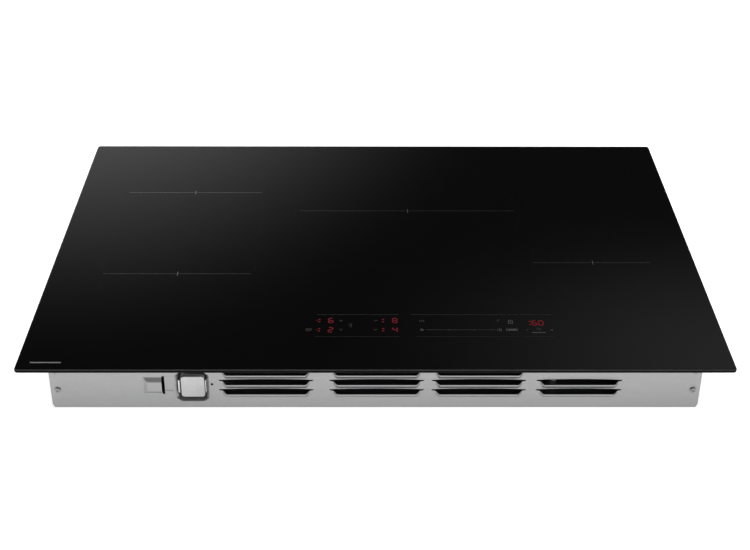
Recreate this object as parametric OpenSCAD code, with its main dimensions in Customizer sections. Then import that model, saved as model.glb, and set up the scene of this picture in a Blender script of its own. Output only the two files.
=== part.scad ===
// Built-in electric induction cooktop: a black glass plate over a shallow sheet-steel tray.
// Frame: X to the right, Y to the back, Z up. The origin is under the middle, on the tray's bottom plane.

/* [Glass plate] */
// Width of the glass
glass_w = 762; // [750:1:780]
// Depth of the glass, front to back
glass_d = 540; // [536:1:560]
// Thickness of the glass
glass_t = 4; // [3:0.5:5]
// Radius of the glass corners, seen from above
glass_corner_r = 4; // [2:0.5:10]
// Overall height, from the tray's bottom to the top of the glass
height = 68; // [68:0.5:72]

/* [Sheet-steel tray] */
// Width of the tray over its side panels
tray_w = 703; // [700:1:706]
// Distance that the tray lies in from the front and back edges of the glass
tray_inset = 25; // [24:0.5:26]
// Thickness of the sheet
sheet_t = 1; // [0.8:0.1:1.2]
// Thickness of the foam seal, and of the frame and adhesive beside it
seal_t = 2; // [1.5:0.5:2]
// Width of the flange where a side panel folds behind the front and back walls
flange_w = 19.5; // [15:0.5:20]

/* [Louvres] */
// Height of the top row's cut line above the tray's bottom
louvre_top_z = 49.9; // [49:0.1:52]
// Distance between rows
louvre_pitch = 12.2; // [11.5:0.1:12.5]
// Length of a full louvre, from slit tip to slit tip
louvre_len = 100; // [80:1:100]
// How far a louvre's lip stands out of the wall
louvre_out = 5; // [3:0.5:6]
// Middles of the four front groups along X
front_groups = [-117.6, 2, 113, 222.5]; // [-250:0.1:250]
// Middles of the three rear groups along X
rear_groups = [-230, -115, 0]; // [-250:1:20]

/* [Retaining pads] */
// Middle of the front pad's well along X
front_pad_x = -197.5; // [-200:0.5:-195]
// Middle of the rear pad's well along X
rear_pad_x = 270; // [266:1:272]
// Height of the pads' middle above the tray's bottom
pad_z = 28.5; // [28:0.5:30]
// Width of the pressed well
well_w = 36; // [34:1:38]
// Height of the pressed well
well_h = 38; // [36:1:38]
// Depth of the pressed well
well_depth = 8.5; // [8.5:0.5:9]
// Width of the pad
pad_side = 25.5; // [24:0.5:26]
// Height of the pad
pad_h = 28.5; // [26:0.5:29]

/* [Cooking zones] */
// Middle of the rear left coil
rear_left_at = [-231.5, 133]; // [-240:0.5:140]
// Middle of the front left coil
front_left_at = [-231.5, -72]; // [-240:0.5:0]
// Middle of the centre coil
centre_at = [42, 82]; // [35:0.5:85]
// Middle of the right coil
right_at = [258, -47.5]; // [-60:0.5:260]
// Radius of the two left coils
left_coil_r = 86; // [70:1:88]
// Radius of the centre coil
centre_coil_r = 134; // [100:1:136]
// Radius of the right coil
right_coil_r = 69; // [60:1:70]
// Distance from one turn of a coil to the next
turn_pitch = 3; // [2.5:0.5:4]

/* [Cooling fans] */
// Middle of the left fan
left_fan_at = [-232, 130]; // [-240:1:140]
// Middle of the right fan
right_fan_at = [262, 120]; // [110:1:265]
// Side of the square fan housing
fan_side = 80; // [76:1:82]
// Height of the fan housing
fan_h = 25; // [22:1:26]
// Number of blades
fan_blades = 7; // [5:1:11]

/* [Controls] */
// Left end of the control board
control_x0 = -75; // [-80:1:-70]
// Right end of the control board
control_x1 = 205; // [204:1:208]
// Middle of the control board, front to back
control_y = -186; // [-188:1:-184]

/* [Mains connection] */
// Left side of the terminal box's opening
terminal_x0 = 130; // [128:1:132]
// Width of the terminal box
terminal_w = 80; // [76:1:80]
// Height of the terminal box
terminal_h = 38; // [36:1:38]
// Middle of the cable bushing along X
bushing_x = 96; // [94:1:98]
// Radius of the bushing's cable bore
bushing_bore_r = 8; // [6:0.5:9]

/* [Hidden] */
$fn = 64;
// Small overshoot, so that a cut goes right through
cut_over = 0.5;
// Running clearance of a shaft or pin in its hole, on the radius
run_gap = 0.05;

// Levels, from the bottom up
glass_z = height - glass_t;
wall_top = glass_z - seal_t;
bottom_top = sheet_t;
board_z = 8;
board_t = 1.6;
board_top = board_z + board_t;
plate_z = 46;
plate_t = 1.2;
mica_t = 0.6;
winding_t = 6;
ferrite_t = 4;
carrier_t = 2;
mica_z = glass_z - mica_t;
winding_z = mica_z - winding_t;
ferrite_z = winding_z - ferrite_t;
carrier_z = ferrite_z - carrier_t;

// Mounting frame: how far it shows past the tray, and the width of its ring
frame_lip = 2;
frame_band = 18;

// Walls
half_w = tray_w / 2;
half_d = glass_d / 2 - tray_inset;
wall_half = half_w - sheet_t;

// A louvre's profile below its cut line
lip_drop = 3.4;
lip_low = 7;
lip_foot = 10;
lip_slope = 3;
slit_h = 1.3;
slit_tip = 4;
front_rows = [3, 3, 3, 2];

// Relief cut off the lower corners at both ends of the walls
corner_cut = 4.5;

// Corner screws
screw_low = [half_w - 7.7, 24];
screw_high = [half_w - 7.5, 48.2];
screw_hole_r = 2.1;
screw_r = 1.9;
screw_head_r = 3.6;

// Retaining pads
pad_t = 4;
pad_out = 1;
pad_rise = 1.2;
well_slope = 3;
well_corner = 8;
rail_h = 17;
rail_w = 1.6;
rail_gap = 0.4;
hook_x0 = -52.5;
hook_x1 = -33;
hook_h = 21;
hook_out = 3;
hook_z = 2.2;
bracket_hole_x = 20.7;
bracket_hole_z = 3.2;
bracket_hole_r = 1.5;

// Side bracket holes
side_hole_r = 2.1;
side_hole_gap = 60;
side_hole_z = 30;

// Fans
fan_z = bottom_top;
fan_bore_r = fan_side / 2 - 2.5;
fan_hole = fan_side / 2 - 4.25;
rotor_hub_r = 16;
rotor_shaft_r = 1.5;
rotor_gap = 1;

// Boards: [left, right, front, back]
left_board = [-318, -146, -160, 60];
right_board = [192, 324, -200, 60];
filter_board = [-80, 100, 60, 200];
standoff_inset = 8;
standoff_hole_r = 1.7;

// Control unit
control_d = 48;
holder_z = 49;
holder_wall = 1.5;
holder_gap = 3;
control_z = 54;
control_top = control_z + board_t;
ribbon_x = 199;
ribbon_y = -186.7;
digit_h = 16;
digit_w = 10;
digits_at = [[-49, -174], [-49, -192], [22, -174], [22, -192]];
timer_at = [179.5, -178];
keys_at = [
    [-72, -193], [-26, -184], [52, -175], [68, -193], [95, -193], [122, -193],
    [137, -175], [152, -177], [152, -193], [166, -199], [194, -199]
];

// Terminal box and its hinged cover
terminal_z = 6;
terminal_depth = 54;
terminal_wall = 2;
terminal_flange = 4;
terminal_flange_t = 1.5;
cover_t = 2.5;
hinge_y = half_d + terminal_flange_t + 3;
hinge_z = 9;
hinge_pin_r = 1.5;
ear_w = 4;
bushing_z = 28;
bushing_r = 11;

// ---------- Shapes that repeat ----------

// A rectangle with round corners, about the origin
module rounded_rect(w, d, r) {
    square([w - 2 * r, d], center = true);
    square([w, d - 2 * r], center = true);
    for (sx = [-1, 1])
        for (sy = [-1, 1])
            translate([sx * (w / 2 - r), sy * (d / 2 - r)])
                circle(r);
}

// A square with its corners cut off, about the origin
module cut_square(side, cut) {
    h = side / 2;
    polygon([[-h, cut - h], [cut - h, -h], [h - cut, -h], [h, cut - h],
             [h, h - cut], [h - cut, h], [cut - h, h], [-h, h - cut]]);
}

// A rounded rectangular ring: outer width and depth, band width, height
module rect_ring(w, d, band, h, r) {
    difference() {
        linear_extrude(h)
            rounded_rect(w, d, r);
        translate([0, 0, -cut_over])
            linear_extrude(h + 2 * cut_over)
                rounded_rect(w - 2 * band, d - 2 * band, max(r - band, 1));
    }
}

// A box from its low corner to its high corner
module span(low, high) {
    translate(low)
        cube(high - low);
}

// An outline of [Y, Z] points drawn out along X, from x0 to x1
module bar_x(outline, x0, x1) {
    translate([x0, 0, 0])
        rotate([90, 0, 90])
            linear_extrude(x1 - x0)
                polygon(outline);
}

// An outline of [X, Z] points drawn out along Y, from y0 to y1
module bar_y(outline, y0, y1) {
    translate([0, y1, 0])
        rotate([90, 0, 0])
            linear_extrude(y1 - y0)
                polygon(outline);
}

// An outline of [X, Y] points drawn up along Z, from z0 to z1
module bar_z(outline, z0, z1) {
    translate([0, 0, z0])
        linear_extrude(z1 - z0)
            polygon(outline);
}

// A round bar or hole along Y, from y0 to y1
module rod_y(r, y0, y1) {
    translate([0, y1, 0])
        rotate([90, 0, 0])
            cylinder(r = r, h = y1 - y0);
}

// A round bar or hole along X, from x0 to x1
module rod_x(r, x0, x1) {
    translate([x0, 0, 0])
        rotate([0, 90, 0])
            cylinder(r = r, h = x1 - x0);
}

// The same thing on the back as on the front
module at_back() {
    rotate([0, 0, 180])
        children();
}

// A short corrugated sleeve that stands for a small coil spring, along Z
module spring_sleeve(r, wire, h) {
    turns = max(2, round(h / (2 * wire)));
    step = h / turns;
    rotate_extrude()
        polygon(concat(
            [for (i = [0 : turns - 1]) each [[r - wire, i * step], [r, (i + 0.5) * step]]],
            [[r - wire, h], [r - 2 * wire, h], [r - 2 * wire, 0]]
        ));
}

// ---------- Glass and what holds it ----------

module glass_plate() {
    color("#0c0c0e")
        translate([0, 0, glass_z])
            linear_extrude(glass_t)
                rounded_rect(glass_w, glass_d, glass_corner_r);
}

// Foam seal round the rim, which rests on the worktop
module worktop_seal() {
    inset = 6;
    color("#2b2b2d")
        translate([0, 0, wall_top])
            rect_ring(glass_w - 2 * inset, glass_d - 2 * inset, 8, seal_t, 6);
}

// Silicone bead between the frame and the glass
module frame_adhesive() {
    color("#1c1c1e")
        translate([0, 0, wall_top + seal_t / 2])
            rect_ring(tray_w, 2 * half_d, frame_band - 6, seal_t / 2, 3);
}

// Flat ring under the glass, with a screwed tab folded down at each corner
module mounting_frame() {
    tab_y = half_d - 2 * sheet_t;
    tab_x = wall_half;
    color("#b4b6b8")
        difference() {
            union() {
                translate([0, 0, wall_top])
                    rect_ring(tray_w + 2 * frame_lip, 2 * (half_d + frame_lip), frame_band, seal_t / 2, 3);
                for (sx = [-1, 1])
                    for (sy = [-1, 1])
                        frame_tab(sx, sy, tab_x, tab_y);
            }
            for (sx = [-1, 1])
                translate([sx * screw_high[0], 0, screw_high[1]])
                    rod_y(screw_hole_r, -half_d, half_d);
        }
}

// One folded tab of the mounting frame, in the corner given by two signs
module frame_tab(sx, sy, tab_x, tab_y) {
    xs = sx > 0 ? [tab_x - flange_w, tab_x] : [-tab_x, -tab_x + flange_w];
    ys = sy > 0 ? [tab_y - sheet_t, tab_y] : [-tab_y, -tab_y + sheet_t];
    span([xs[0], ys[0], 40], [xs[1], ys[1], wall_top]);
}

// ---------- Tray ----------

// One louvre on the front wall, about its middle, with z = 0 at the cut line; the lip's solid
module louvre_lip(len, inset) {
    half = len / 2 - slit_tip - inset;
    out = louvre_out - inset;
    back = inset > 0 ? sheet_t + cut_over : sheet_t;
    top = inset > 0 ? 0 : -lip_drop;
    foot = lip_foot - 1.2 * inset;
    low = lip_low - 0.4 * inset;
    intersection() {
        bar_x([[back, -foot], [0, -foot], [-out, -low], [-out, top], [back, top]], -half, half);
        bar_z([[-half, back], [half, back], [half, 0], [half - lip_slope, -out],
               [lip_slope - half, -out], [-half, 0]], -lip_foot - 1, 1);
        bar_y([[-half, 1], [half, 1], [half, -lip_drop], [half - lip_slope, -lip_foot],
               [lip_slope - half, -lip_foot], [-half, -lip_drop]], -louvre_out - 1, 2);
    }
}

// What a louvre cuts out of the wall: its hollow and its slit
module louvre_cut(len) {
    louvre_lip(len, sheet_t);
    translate([-len / 2, -cut_over, -slit_h])
        cube([len, sheet_t + 2 * cut_over, slit_h]);
}

// Puts its child at each louvre of a group
module louvre_places(x, rows) {
    for (row = [0 : rows - 1])
        translate([x, -half_d, louvre_top_z - (row + 3 - rows) * louvre_pitch])
            children();
}

// The pressed well of a retaining pad; grow is the sheet's thickness for the outside of the pressing
module well_shape(grow) {
    w = well_w / 2 + grow;
    h = well_h / 2 + grow;
    deep = well_depth + grow;
    front = grow > 0 ? 0 : -cut_over;
    intersection() {
        bar_z([[-w, front], [w, front], [w - well_slope, deep], [well_slope - w, deep]], -h, h);
        bar_x([[front, -h], [deep, well_slope - h], [deep, h - well_slope], [front, h]], -w, w);
        translate([0, deep, 0])
            rotate([90, 0, 0])
                linear_extrude(deep + 1)
                    rounded_rect(2 * w, 2 * h, well_corner + grow);
    }
}

// The raised hook beside the well, open towards the well; inset is the sheet's thickness for its hollow
module hook_shape(inset) {
    x0 = hook_x0 + inset;
    x1 = hook_x1 + (inset > 0 ? cut_over : 0);
    out = hook_out - inset;
    back = inset > 0 ? sheet_t + cut_over : sheet_t;
    h = hook_h / 2 - inset;
    intersection() {
        bar_z([[x0, back], [x0, 0], [x0 + 3, -out], [x1, -out], [x1, back]], hook_z - h, hook_z + h);
        bar_x([[back, hook_z - h], [0, hook_z - h], [-out, hook_z + 2.2 - h],
               [-out, hook_z + h - 3.3], [0, hook_z + h], [back, hook_z + h]], x0 - 1, x1 + 1);
    }
}

// All that a pad site cuts out of the wall
module pad_site_cut() {
    well_shape(0);
    hook_shape(sheet_t);
    span([hook_x1, -cut_over, hook_z - 11.7], [hook_x1 + 2, sheet_t + cut_over, hook_z + 11.7]);
    span([hook_x1 + 2, -cut_over, hook_z - hook_h / 2], [hook_x1 + 13, 0.3, hook_z + hook_h / 2]);
    translate([bracket_hole_x, 0, bracket_hole_z])
        rod_y(bracket_hole_r, -cut_over, sheet_t + cut_over);
}

// Screw holes at both ends of a wall
module wall_screw_holes() {
    for (sx = [-1, 1])
        for (at = [screw_low, screw_high])
            translate([sx * at[0], 0, at[1]])
                rod_y(screw_hole_r, -half_d - cut_over, -half_d + 3 * sheet_t + cut_over);
}

// A whole wall as it stands at the front, with its louvres and one pad site
module tray_wall(groups, rows, pad_x) {
    difference() {
        union() {
            span([-wall_half, -half_d, 0], [wall_half, -half_d + sheet_t, wall_top]);
            for (i = [0 : len(groups) - 1])
                louvre_places(groups[i], rows[i])
                    louvre_lip(group_len(rows[i]), 0);
            translate([pad_x, -half_d, pad_z]) {
                well_shape(sheet_t);
                hook_shape(0);
            }
        }
        for (i = [0 : len(groups) - 1])
            louvre_places(groups[i], rows[i])
                louvre_cut(group_len(rows[i]));
        translate([pad_x, -half_d, pad_z])
            pad_site_cut();
        wall_screw_holes();
    }
}

// The short group of two rows is a tenth shorter
function group_len(rows) = rows == 3 ? louvre_len : 0.9 * louvre_len;

// The ring slots under a fan, between spokes
module fan_grille() {
    difference() {
        for (r = [10 : 6 : fan_bore_r - 3])
            difference() {
                circle(r + 3.4);
                circle(r);
            }
        for (a = [0 : 60 : 120])
            rotate(a)
                square([fan_side, 4], center = true);
    }
}

// A pressed rib in the tray's bottom, raised on the inside and hollow on the underside
module bottom_rib(at, size, grow) {
    translate([at[0], at[1], grow > 0 ? 0 : -cut_over])
        linear_extrude(grow > 0 ? 1.5 + grow : 1.5 + cut_over)
            rounded_rect(size[0] + 2 * grow, size[1] + 2 * grow, 4 + grow);
}

bottom_ribs = [
    [[-110, -40], [10, 300]], [[120, -40], [10, 160]], [[-232, -195], [150, 10]], [[10, -100], [180, 10]],
    [[10, -186], [140, 10]], [[-232, 205], [150, 10]], [[-110, 210], [10, 40]]
];

module tray_bottom() {
    difference() {
        union() {
            span([-wall_half, -half_d, 0], [wall_half, half_d, sheet_t]);
            for (rib = bottom_ribs)
                bottom_rib(rib[0], rib[1], sheet_t);
        }
        for (rib = bottom_ribs)
            bottom_rib(rib[0], rib[1], 0);
        for (at = [left_fan_at, right_fan_at])
            translate([at[0], at[1], -cut_over]) {
                linear_extrude(sheet_t + 2 * cut_over)
                    fan_grille();
                fan_corners()
                    cylinder(r = screw_hole_r, h = sheet_t + 2 * cut_over);
            }
    }
}

// The wedge that frees a lower corner at the front, on the right
module corner_relief() {
    bar_y([[half_w - corner_cut, -cut_over], [half_w + cut_over, -cut_over], [half_w + cut_over, corner_cut]],
          -half_d - cut_over, -half_d + 2 * sheet_t);
}

// Bottom, front wall and rear wall, folded from one sheet
module base_tray() {
    color("#a9abad")
        difference() {
            union() {
                tray_bottom();
                tray_wall(front_groups, front_rows, front_pad_x);
                at_back()
                    tray_wall([for (x = rear_groups) -x], [3, 3, 3], -rear_pad_x);
            }
            for (end = [0, 1])
                mirror([0, end, 0])
                    for (hand = [0, 1])
                        mirror([hand, 0, 0])
                            corner_relief();
            span([terminal_x0 - 0.2, half_d - 2, terminal_z - 0.2],
                 [terminal_x0 + terminal_w + 0.2, half_d + 1, terminal_z + terminal_h + 0.2]);
            translate([bushing_x, 0, bushing_z])
                rod_y(bushing_r + 0.1, half_d - 2, half_d + 1);
        }
}

// A side panel as it stands on the right, with flanges behind both walls and over the bottom
module side_panel() {
    difference() {
        union() {
            span([wall_half, -half_d, 0], [half_w, half_d, wall_top]);
            for (y = [-half_d + sheet_t, half_d - 2 * sheet_t])
                span([wall_half - flange_w, y, sheet_t], [wall_half, y + sheet_t, wall_top]);
            span([wall_half - 12, -half_d + 2 * sheet_t, sheet_t],
                 [wall_half, half_d - 2 * sheet_t, 2 * sheet_t]);
        }
        for (at = [screw_low, screw_high])
            translate([at[0], 0, at[1]])
                rod_y(screw_hole_r, -half_d - 1, half_d + 1);
        for (y = [-side_hole_gap / 2, side_hole_gap / 2])
            translate([0, y, side_hole_z])
                rod_x(side_hole_r, wall_half - 1, half_w + 1);
        for (end = [0, 1])
            mirror([0, end, 0]) {
                corner_relief();
                bar_x([[-half_d - cut_over, -cut_over], [-half_d + 1.6 * corner_cut, -cut_over],
                       [-half_d - cut_over, corner_cut]], wall_half, half_w + cut_over);
            }
    }
}

module side_panel_left() {
    color("#a9abad")
        mirror([1, 0, 0])
            side_panel();
}

module side_panel_right() {
    color("#a9abad")
        side_panel();
}

// A pan-head screw with a cross recess, pointing along +Y, with its head's seat at y = 0
module pan_screw(length) {
    head_t = 1.8;
    difference() {
        union() {
            rod_y(screw_head_r, -head_t + 0.6, 0);
            rod_y(screw_head_r - 0.8, -head_t, 0);
            rod_y(screw_r, -0.1, length);
        }
        for (a = [0, 90])
            rotate([0, a, 0])
                translate([-2, -head_t - cut_over, -0.4])
                    cube([4, 0.9 + cut_over, 0.8]);
    }
}

module wall_screws() {
    for (sx = [-1, 1])
        for (at = [screw_low, screw_high])
            translate([sx * at[0], -half_d, at[1]])
                pan_screw(8);
}

module front_screws() {
    color("#c4c4c4")
        wall_screws();
}

module rear_screws() {
    color("#c4c4c4")
        at_back()
            wall_screws();
}

// ---------- Retaining pads ----------

// The pad's chamfered outline as [X, Z] points, s smaller on every side
function pad_outline(s) =
    let (w = pad_side / 2 - s, low = pad_rise - pad_h / 2 + s, high = pad_rise + pad_h / 2 - s, c = 2.2)
    [[-w, low + c], [-w + c, low], [w - c, low], [w, low + c],
     [w, high - c], [w - c, high], [-w + c, high], [-w, high - c]];

// A sprung pad as it lies in the front well, with a stepped face
module retaining_pad() {
    bar_y(pad_outline(1.2), -pad_out, 0.2);
    bar_y(pad_outline(0), -pad_out + 0.8, pad_t - pad_out);
}

// An arched leaf spring between the pad and the well's floor
module pad_spring() {
    leaf = 0.4;
    rise = well_depth - (pad_t - pad_out);
    run = 9;
    arc_r = (run * run + rise * rise) / (2 * rise);
    arc_y = well_depth - rise + arc_r;
    intersection() {
        difference() {
            translate([0, arc_y, -5])
                cylinder(r = arc_r, h = 10);
            translate([0, arc_y, -6])
                cylinder(r = arc_r - leaf, h = 12);
        }
        span([-run, well_depth - rise, -5], [run, well_depth, 5]);
    }
}

// Two guide rails beside the pad, joined by a strip on the well's floor
module pad_guide() {
    rail_x = pad_side / 2 + rail_gap;
    strip = 0.5;
    for (sx = [-1, 1])
        translate([sx * (rail_x + rail_w / 2), 0, 0])
            span([-rail_w / 2, 0.4, -rail_h / 2], [rail_w / 2, well_depth, rail_h / 2]);
    for (z = [-rail_h / 2, rail_h / 2 - 1.8])
        span([-rail_x - rail_w / 2, well_depth - strip, z], [rail_x + rail_w / 2, well_depth, z + 1.8]);
}

// Puts its child in the front well
module in_front_well() {
    translate([front_pad_x, -half_d, pad_z])
        children();
}

// Puts its child in the rear well
module in_rear_well() {
    at_back()
        translate([-rear_pad_x, -half_d, pad_z])
            children();
}

module retaining_pad_front() {
    color("#c8c8ca")
        in_front_well()
            retaining_pad();
}

module retaining_pad_rear() {
    color("#c8c8ca")
        in_rear_well()
            retaining_pad();
}

module pad_spring_front() {
    color("#8f9296")
        in_front_well()
            pad_spring();
}

module pad_spring_rear() {
    color("#8f9296")
        in_rear_well()
            pad_spring();
}

module pad_guide_front() {
    color("#d8d8da")
        in_front_well()
            pad_guide();
}

module pad_guide_rear() {
    color("#d8d8da")
        in_rear_well()
            pad_guide();
}

// ---------- Cooling fans ----------

// Puts its child at the four screw corners of a fan
module fan_corners() {
    for (sx = [-1, 1])
        for (sy = [-1, 1])
            translate([sx * fan_hole, sy * fan_hole, 0])
                children();
}

// Square frame with a round duct, a motor base on three struts and a bearing tube
module fan_housing() {
    base_t = 3;
    difference() {
        linear_extrude(fan_h)
            cut_square(fan_side, 3);
        translate([0, 0, -cut_over])
            cylinder(r = fan_bore_r, h = fan_h + 2 * cut_over);
        translate([0, 0, -cut_over])
            fan_corners()
                cylinder(r = screw_hole_r, h = fan_h + 2 * cut_over);
    }
    difference() {
        union() {
            cylinder(r = rotor_hub_r, h = base_t);
            cylinder(r = 4, h = fan_h - 6);
            for (a = [30 : 120 : 270])
                rotate(a)
                    translate([rotor_hub_r - 2, -1.5, 0.4])
                        cube([fan_bore_r - rotor_hub_r + 3, 3, base_t - 0.8]);
        }
        translate([0, 0, base_t])
            cylinder(r = rotor_shaft_r + run_gap, h = fan_h);
    }
}

// Hub, shaft and pitched blades; z = 0 is the housing's base
module fan_rotor() {
    tip_r = fan_bore_r - rotor_gap;
    low = 6;
    high = fan_h - 1.5;
    difference() {
        translate([0, 0, low])
            cylinder(r = rotor_hub_r, h = high - low);
        translate([0, 0, low - cut_over])
            cylinder(r = rotor_hub_r - 1.5, h = high - low - 2 + cut_over);
    }
    translate([0, 0, 4])
        cylinder(r = rotor_shaft_r, h = high - 5);
    intersection() {
        for (i = [0 : fan_blades - 1])
            rotate(i * 360 / fan_blades)
                translate([rotor_hub_r - 1, 0, (low + high) / 2])
                    rotate([48, 0, 0])
                        translate([0, -14, -0.7])
                            cube([tip_r, 28, 1.4]);
        difference() {
            translate([0, 0, low + 1])
                cylinder(r = tip_r, h = high - low - 2);
            translate([0, 0, low])
                cylinder(r = rotor_hub_r - 0.6, h = high - low);
        }
    }
}

// Puts its child at a fan's place on the tray's bottom
module at_fan(at) {
    translate([at[0], at[1], fan_z])
        children();
}

module fan_housing_left() {
    color("#1f2022")
        at_fan(left_fan_at)
            fan_housing();
}

module fan_housing_right() {
    color("#1f2022")
        at_fan(right_fan_at)
            fan_housing();
}

module fan_rotor_left() {
    color("#303236")
        at_fan(left_fan_at)
            fan_rotor();
}

module fan_rotor_right() {
    color("#303236")
        at_fan(right_fan_at)
            fan_rotor();
}

// Four long screws through each fan housing into the tray's bottom
module fan_screws() {
    color("#c4c4c4")
        for (at = [left_fan_at, right_fan_at])
            at_fan(at)
                fan_corners() {
                    translate([0, 0, fan_h])
                        cylinder(r = 3.4, h = 1.8);
                    translate([0, 0, -sheet_t + 0.2])
                        cylinder(r = screw_r, h = fan_h + sheet_t);
                }
}

// ---------- Power electronics ----------

// The places of a board's standoffs
function board_corners(b) =
    let (s = standoff_inset)
    [for (x = [b[0] + s, b[1] - s], y = [b[2] + s, b[3] - s]) [x, y]];

// A bare circuit board with holes for its standoffs
module board(b) {
    difference() {
        span([b[0], b[2], board_z], [b[1], b[3], board_top]);
        for (at = board_corners(b))
            translate([at[0], at[1], board_z - cut_over])
                cylinder(r = standoff_hole_r, h = board_t + 2 * cut_over);
    }
}

// A block of the given size that stands on a board, about its middle
module on_board(at, size) {
    translate([at[0] - size[0] / 2, at[1] - size[1] / 2, board_top])
        cube(size);
}

// Boards with their connectors, relays and small transformers
module inverter_board_left() {
    color("#1d5c38") {
        board(left_board);
        for (y = [-140, -110, 30])
            on_board([-164, y], [12, 22, 10]);
        on_board([-170, -50], [26, 30, 20]);
        on_board([-295, 35], [20, 24, 16]);
    }
}

module inverter_board_right() {
    color("#1d5c38") {
        board(right_board);
        on_board([ribbon_x, ribbon_y], [12, 6, 6.4]);
        for (y = [-150, -120])
            on_board([204, y], [12, 22, 10]);
        on_board([212, 30], [26, 30, 20]);
        on_board([296, 36], [16, 24, 16]);
    }
}

// An extruded heatsink: base, upright fins and a thicker side fin for the transistors
module heatsink(x0, y0, y1) {
    width = 50;
    fins = 10;
    fin_t = 1.4;
    top = 36;
    translate([x0, y0, board_top]) {
        cube([width, y1 - y0, 3.4]);
        for (i = [0 : fins - 1])
            translate([i * (width - fin_t) / (fins - 1), 0, 0])
                cube([fin_t, y1 - y0, top - board_top]);
        cube([3, y1 - y0, top - board_top]);
    }
}

module heatsink_left() {
    color("#b9bcc0")
        heatsink(-250, -145, 45);
}

module heatsink_right() {
    color("#b9bcc0")
        heatsink(250, -180, 20);
}

// A power transistor: body against the heatsink and three legs into the board
module transistor(x, y) {
    body = [5, 16, 20];
    translate([x - body[0], y - body[1] / 2, board_top + 4])
        cube(body);
    for (i = [-1, 0, 1])
        translate([x - 3, y + i * 5 - 0.6, board_top])
            cube([1, 1.2, 4.5]);
}

module power_transistors() {
    color("#151517") {
        for (y = [-130 : 26 : 30])
            transistor(-250, y);
        for (y = [-165 : 26 : 0])
            transistor(250, y);
    }
}

// Box-shaped film capacitors, resonant and mains types
module film_capacitors() {
    color("#c9c4b4") {
        for (y = [-135 : 28 : 0])
            on_board([-292, y], [32, 22, 27]);
        for (y = [-60 : 28 : 0])
            on_board([224, y], [30, 22, 27]);
        for (x = [-50, 10, 70])
            on_board([x, 82], [32, 18, 24]);
    }
}

// Upright electrolytic capacitors with a pressed top
module bus_capacitors() {
    color("#2a3346")
        for (at = [[-180, -100], [-180, -5], [-164, -80], [222, -95], [222, -170], [312, -150], [312, -120]])
            translate([at[0], at[1], board_top])
                rotate_extrude()
                    polygon([[0, 0], [9, 0], [9, 29], [8, 30], [6.6, 30], [6.4, 29.4], [0, 29.4]]);
}

// Toroidal chokes that lie on the filter board, with lobes for their windings
module choke(at, r) {
    wire = 5.5;
    translate([at[0], at[1], board_top + wire + 1]) {
        rotate_extrude()
            translate([r, 0])
                circle(wire);
        for (a = [0, 180])
            rotate(a - 60)
                rotate_extrude(angle = 120)
                    translate([r, 0])
                        circle(wire + 1);
    }
}

module filter_chokes() {
    color("#9a4a22")
        for (at = [[-48, 130], [4, 130], [56, 130]])
            choke(at, 15);
}

module mains_filter_board() {
    color("#1d5c38") {
        board(filter_board);
        for (x = [-60, -30])
            on_board([x, 180], [18, 14, 12]);
        on_board([50, 178], [60, 12, 14]);
    }
}

// Snap-in standoffs under the three boards
module board_standoffs() {
    color("#e6e4dc")
        for (b = [left_board, right_board, filter_board])
            for (at = board_corners(b))
                translate([at[0], at[1], bottom_top]) {
                    cylinder(r = 3.5, h = board_z - bottom_top);
                    cylinder(r = standoff_hole_r - 0.1, h = board_top + 1.4 - bottom_top);
                }
}

// ---------- Mains connection ----------

terminal_x1 = terminal_x0 + terminal_w;
terminal_top = terminal_z + terminal_h;

// Box pushed through the rear wall from outside, with a flange and two hinge ears
module terminal_box() {
    inner = terminal_wall;
    flange = terminal_flange;
    back = half_d - terminal_depth;
    color("#e3e1da")
        difference() {
            union() {
                span([terminal_x0, back, terminal_z], [terminal_x1, half_d, terminal_top]);
                span([terminal_x0 - flange, half_d, terminal_z - flange],
                     [terminal_x1 + flange, half_d + terminal_flange_t, terminal_top + flange]);
                for (x = [terminal_x0, terminal_x1 - ear_w])
                    terminal_ear(x);
            }
            span([terminal_x0 + inner, back + inner, terminal_z + inner + 4],
                 [terminal_x1 - inner, half_d + 5, terminal_top - inner]);
            translate([0, hinge_y, hinge_z])
                rod_x(hinge_pin_r + run_gap, terminal_x0 - 1, terminal_x1 + 1);
            span([terminal_x0 - 1, half_d - 30, bushing_z - 8],
                 [terminal_x0 + inner + 1, half_d - 14, bushing_z + 8]);
        }
}

// One hinge ear on the box's flange
module terminal_ear(x) {
    span([x, half_d, hinge_z - 3], [x + ear_w, hinge_y, hinge_z + 3]);
    translate([0, hinge_y, hinge_z])
        rod_x(3, x, x + ear_w);
}

// Cover that swings down on two pins moulded at its lower edge
module terminal_cover() {
    side_gap = 0.6;
    x0 = terminal_x0 + ear_w + side_gap;
    x1 = terminal_x1 - ear_w - side_gap;
    color("#e9e7e0") {
        span([x0, hinge_y - cover_t, hinge_z], [x1, hinge_y, terminal_top + 1]);
        translate([0, hinge_y, hinge_z]) {
            rod_x(2.4, x0, x1);
            rod_x(hinge_pin_r, terminal_x0 + 0.6, terminal_x1 - 0.6);
        }
        span([(x0 + x1) / 2 - 9, hinge_y, terminal_top - 6],
             [(x0 + x1) / 2 + 9, hinge_y + 1.6, terminal_top - 3]);
    }
}

// Five-way screw terminal block inside the box
module terminal_block() {
    ways = 5;
    pitch = 13;
    y0 = half_d - terminal_depth + terminal_wall;
    z0 = terminal_z + terminal_wall + 4;
    x_mid = (terminal_x0 + terminal_x1) / 2;
    color("#3a3b3d")
        difference() {
            span([x_mid - ways * pitch / 2, y0, z0], [x_mid + ways * pitch / 2, y0 + 16, z0 + 20]);
            for (i = [0 : ways - 1])
                translate([x_mid + (i - (ways - 1) / 2) * pitch, y0 + 17, z0 + 7]) {
                    rod_y(3, -9, 1);
                    translate([0, -8, 7.5])
                        cylinder(r = 2.6, h = 8);
                }
        }
}

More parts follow.
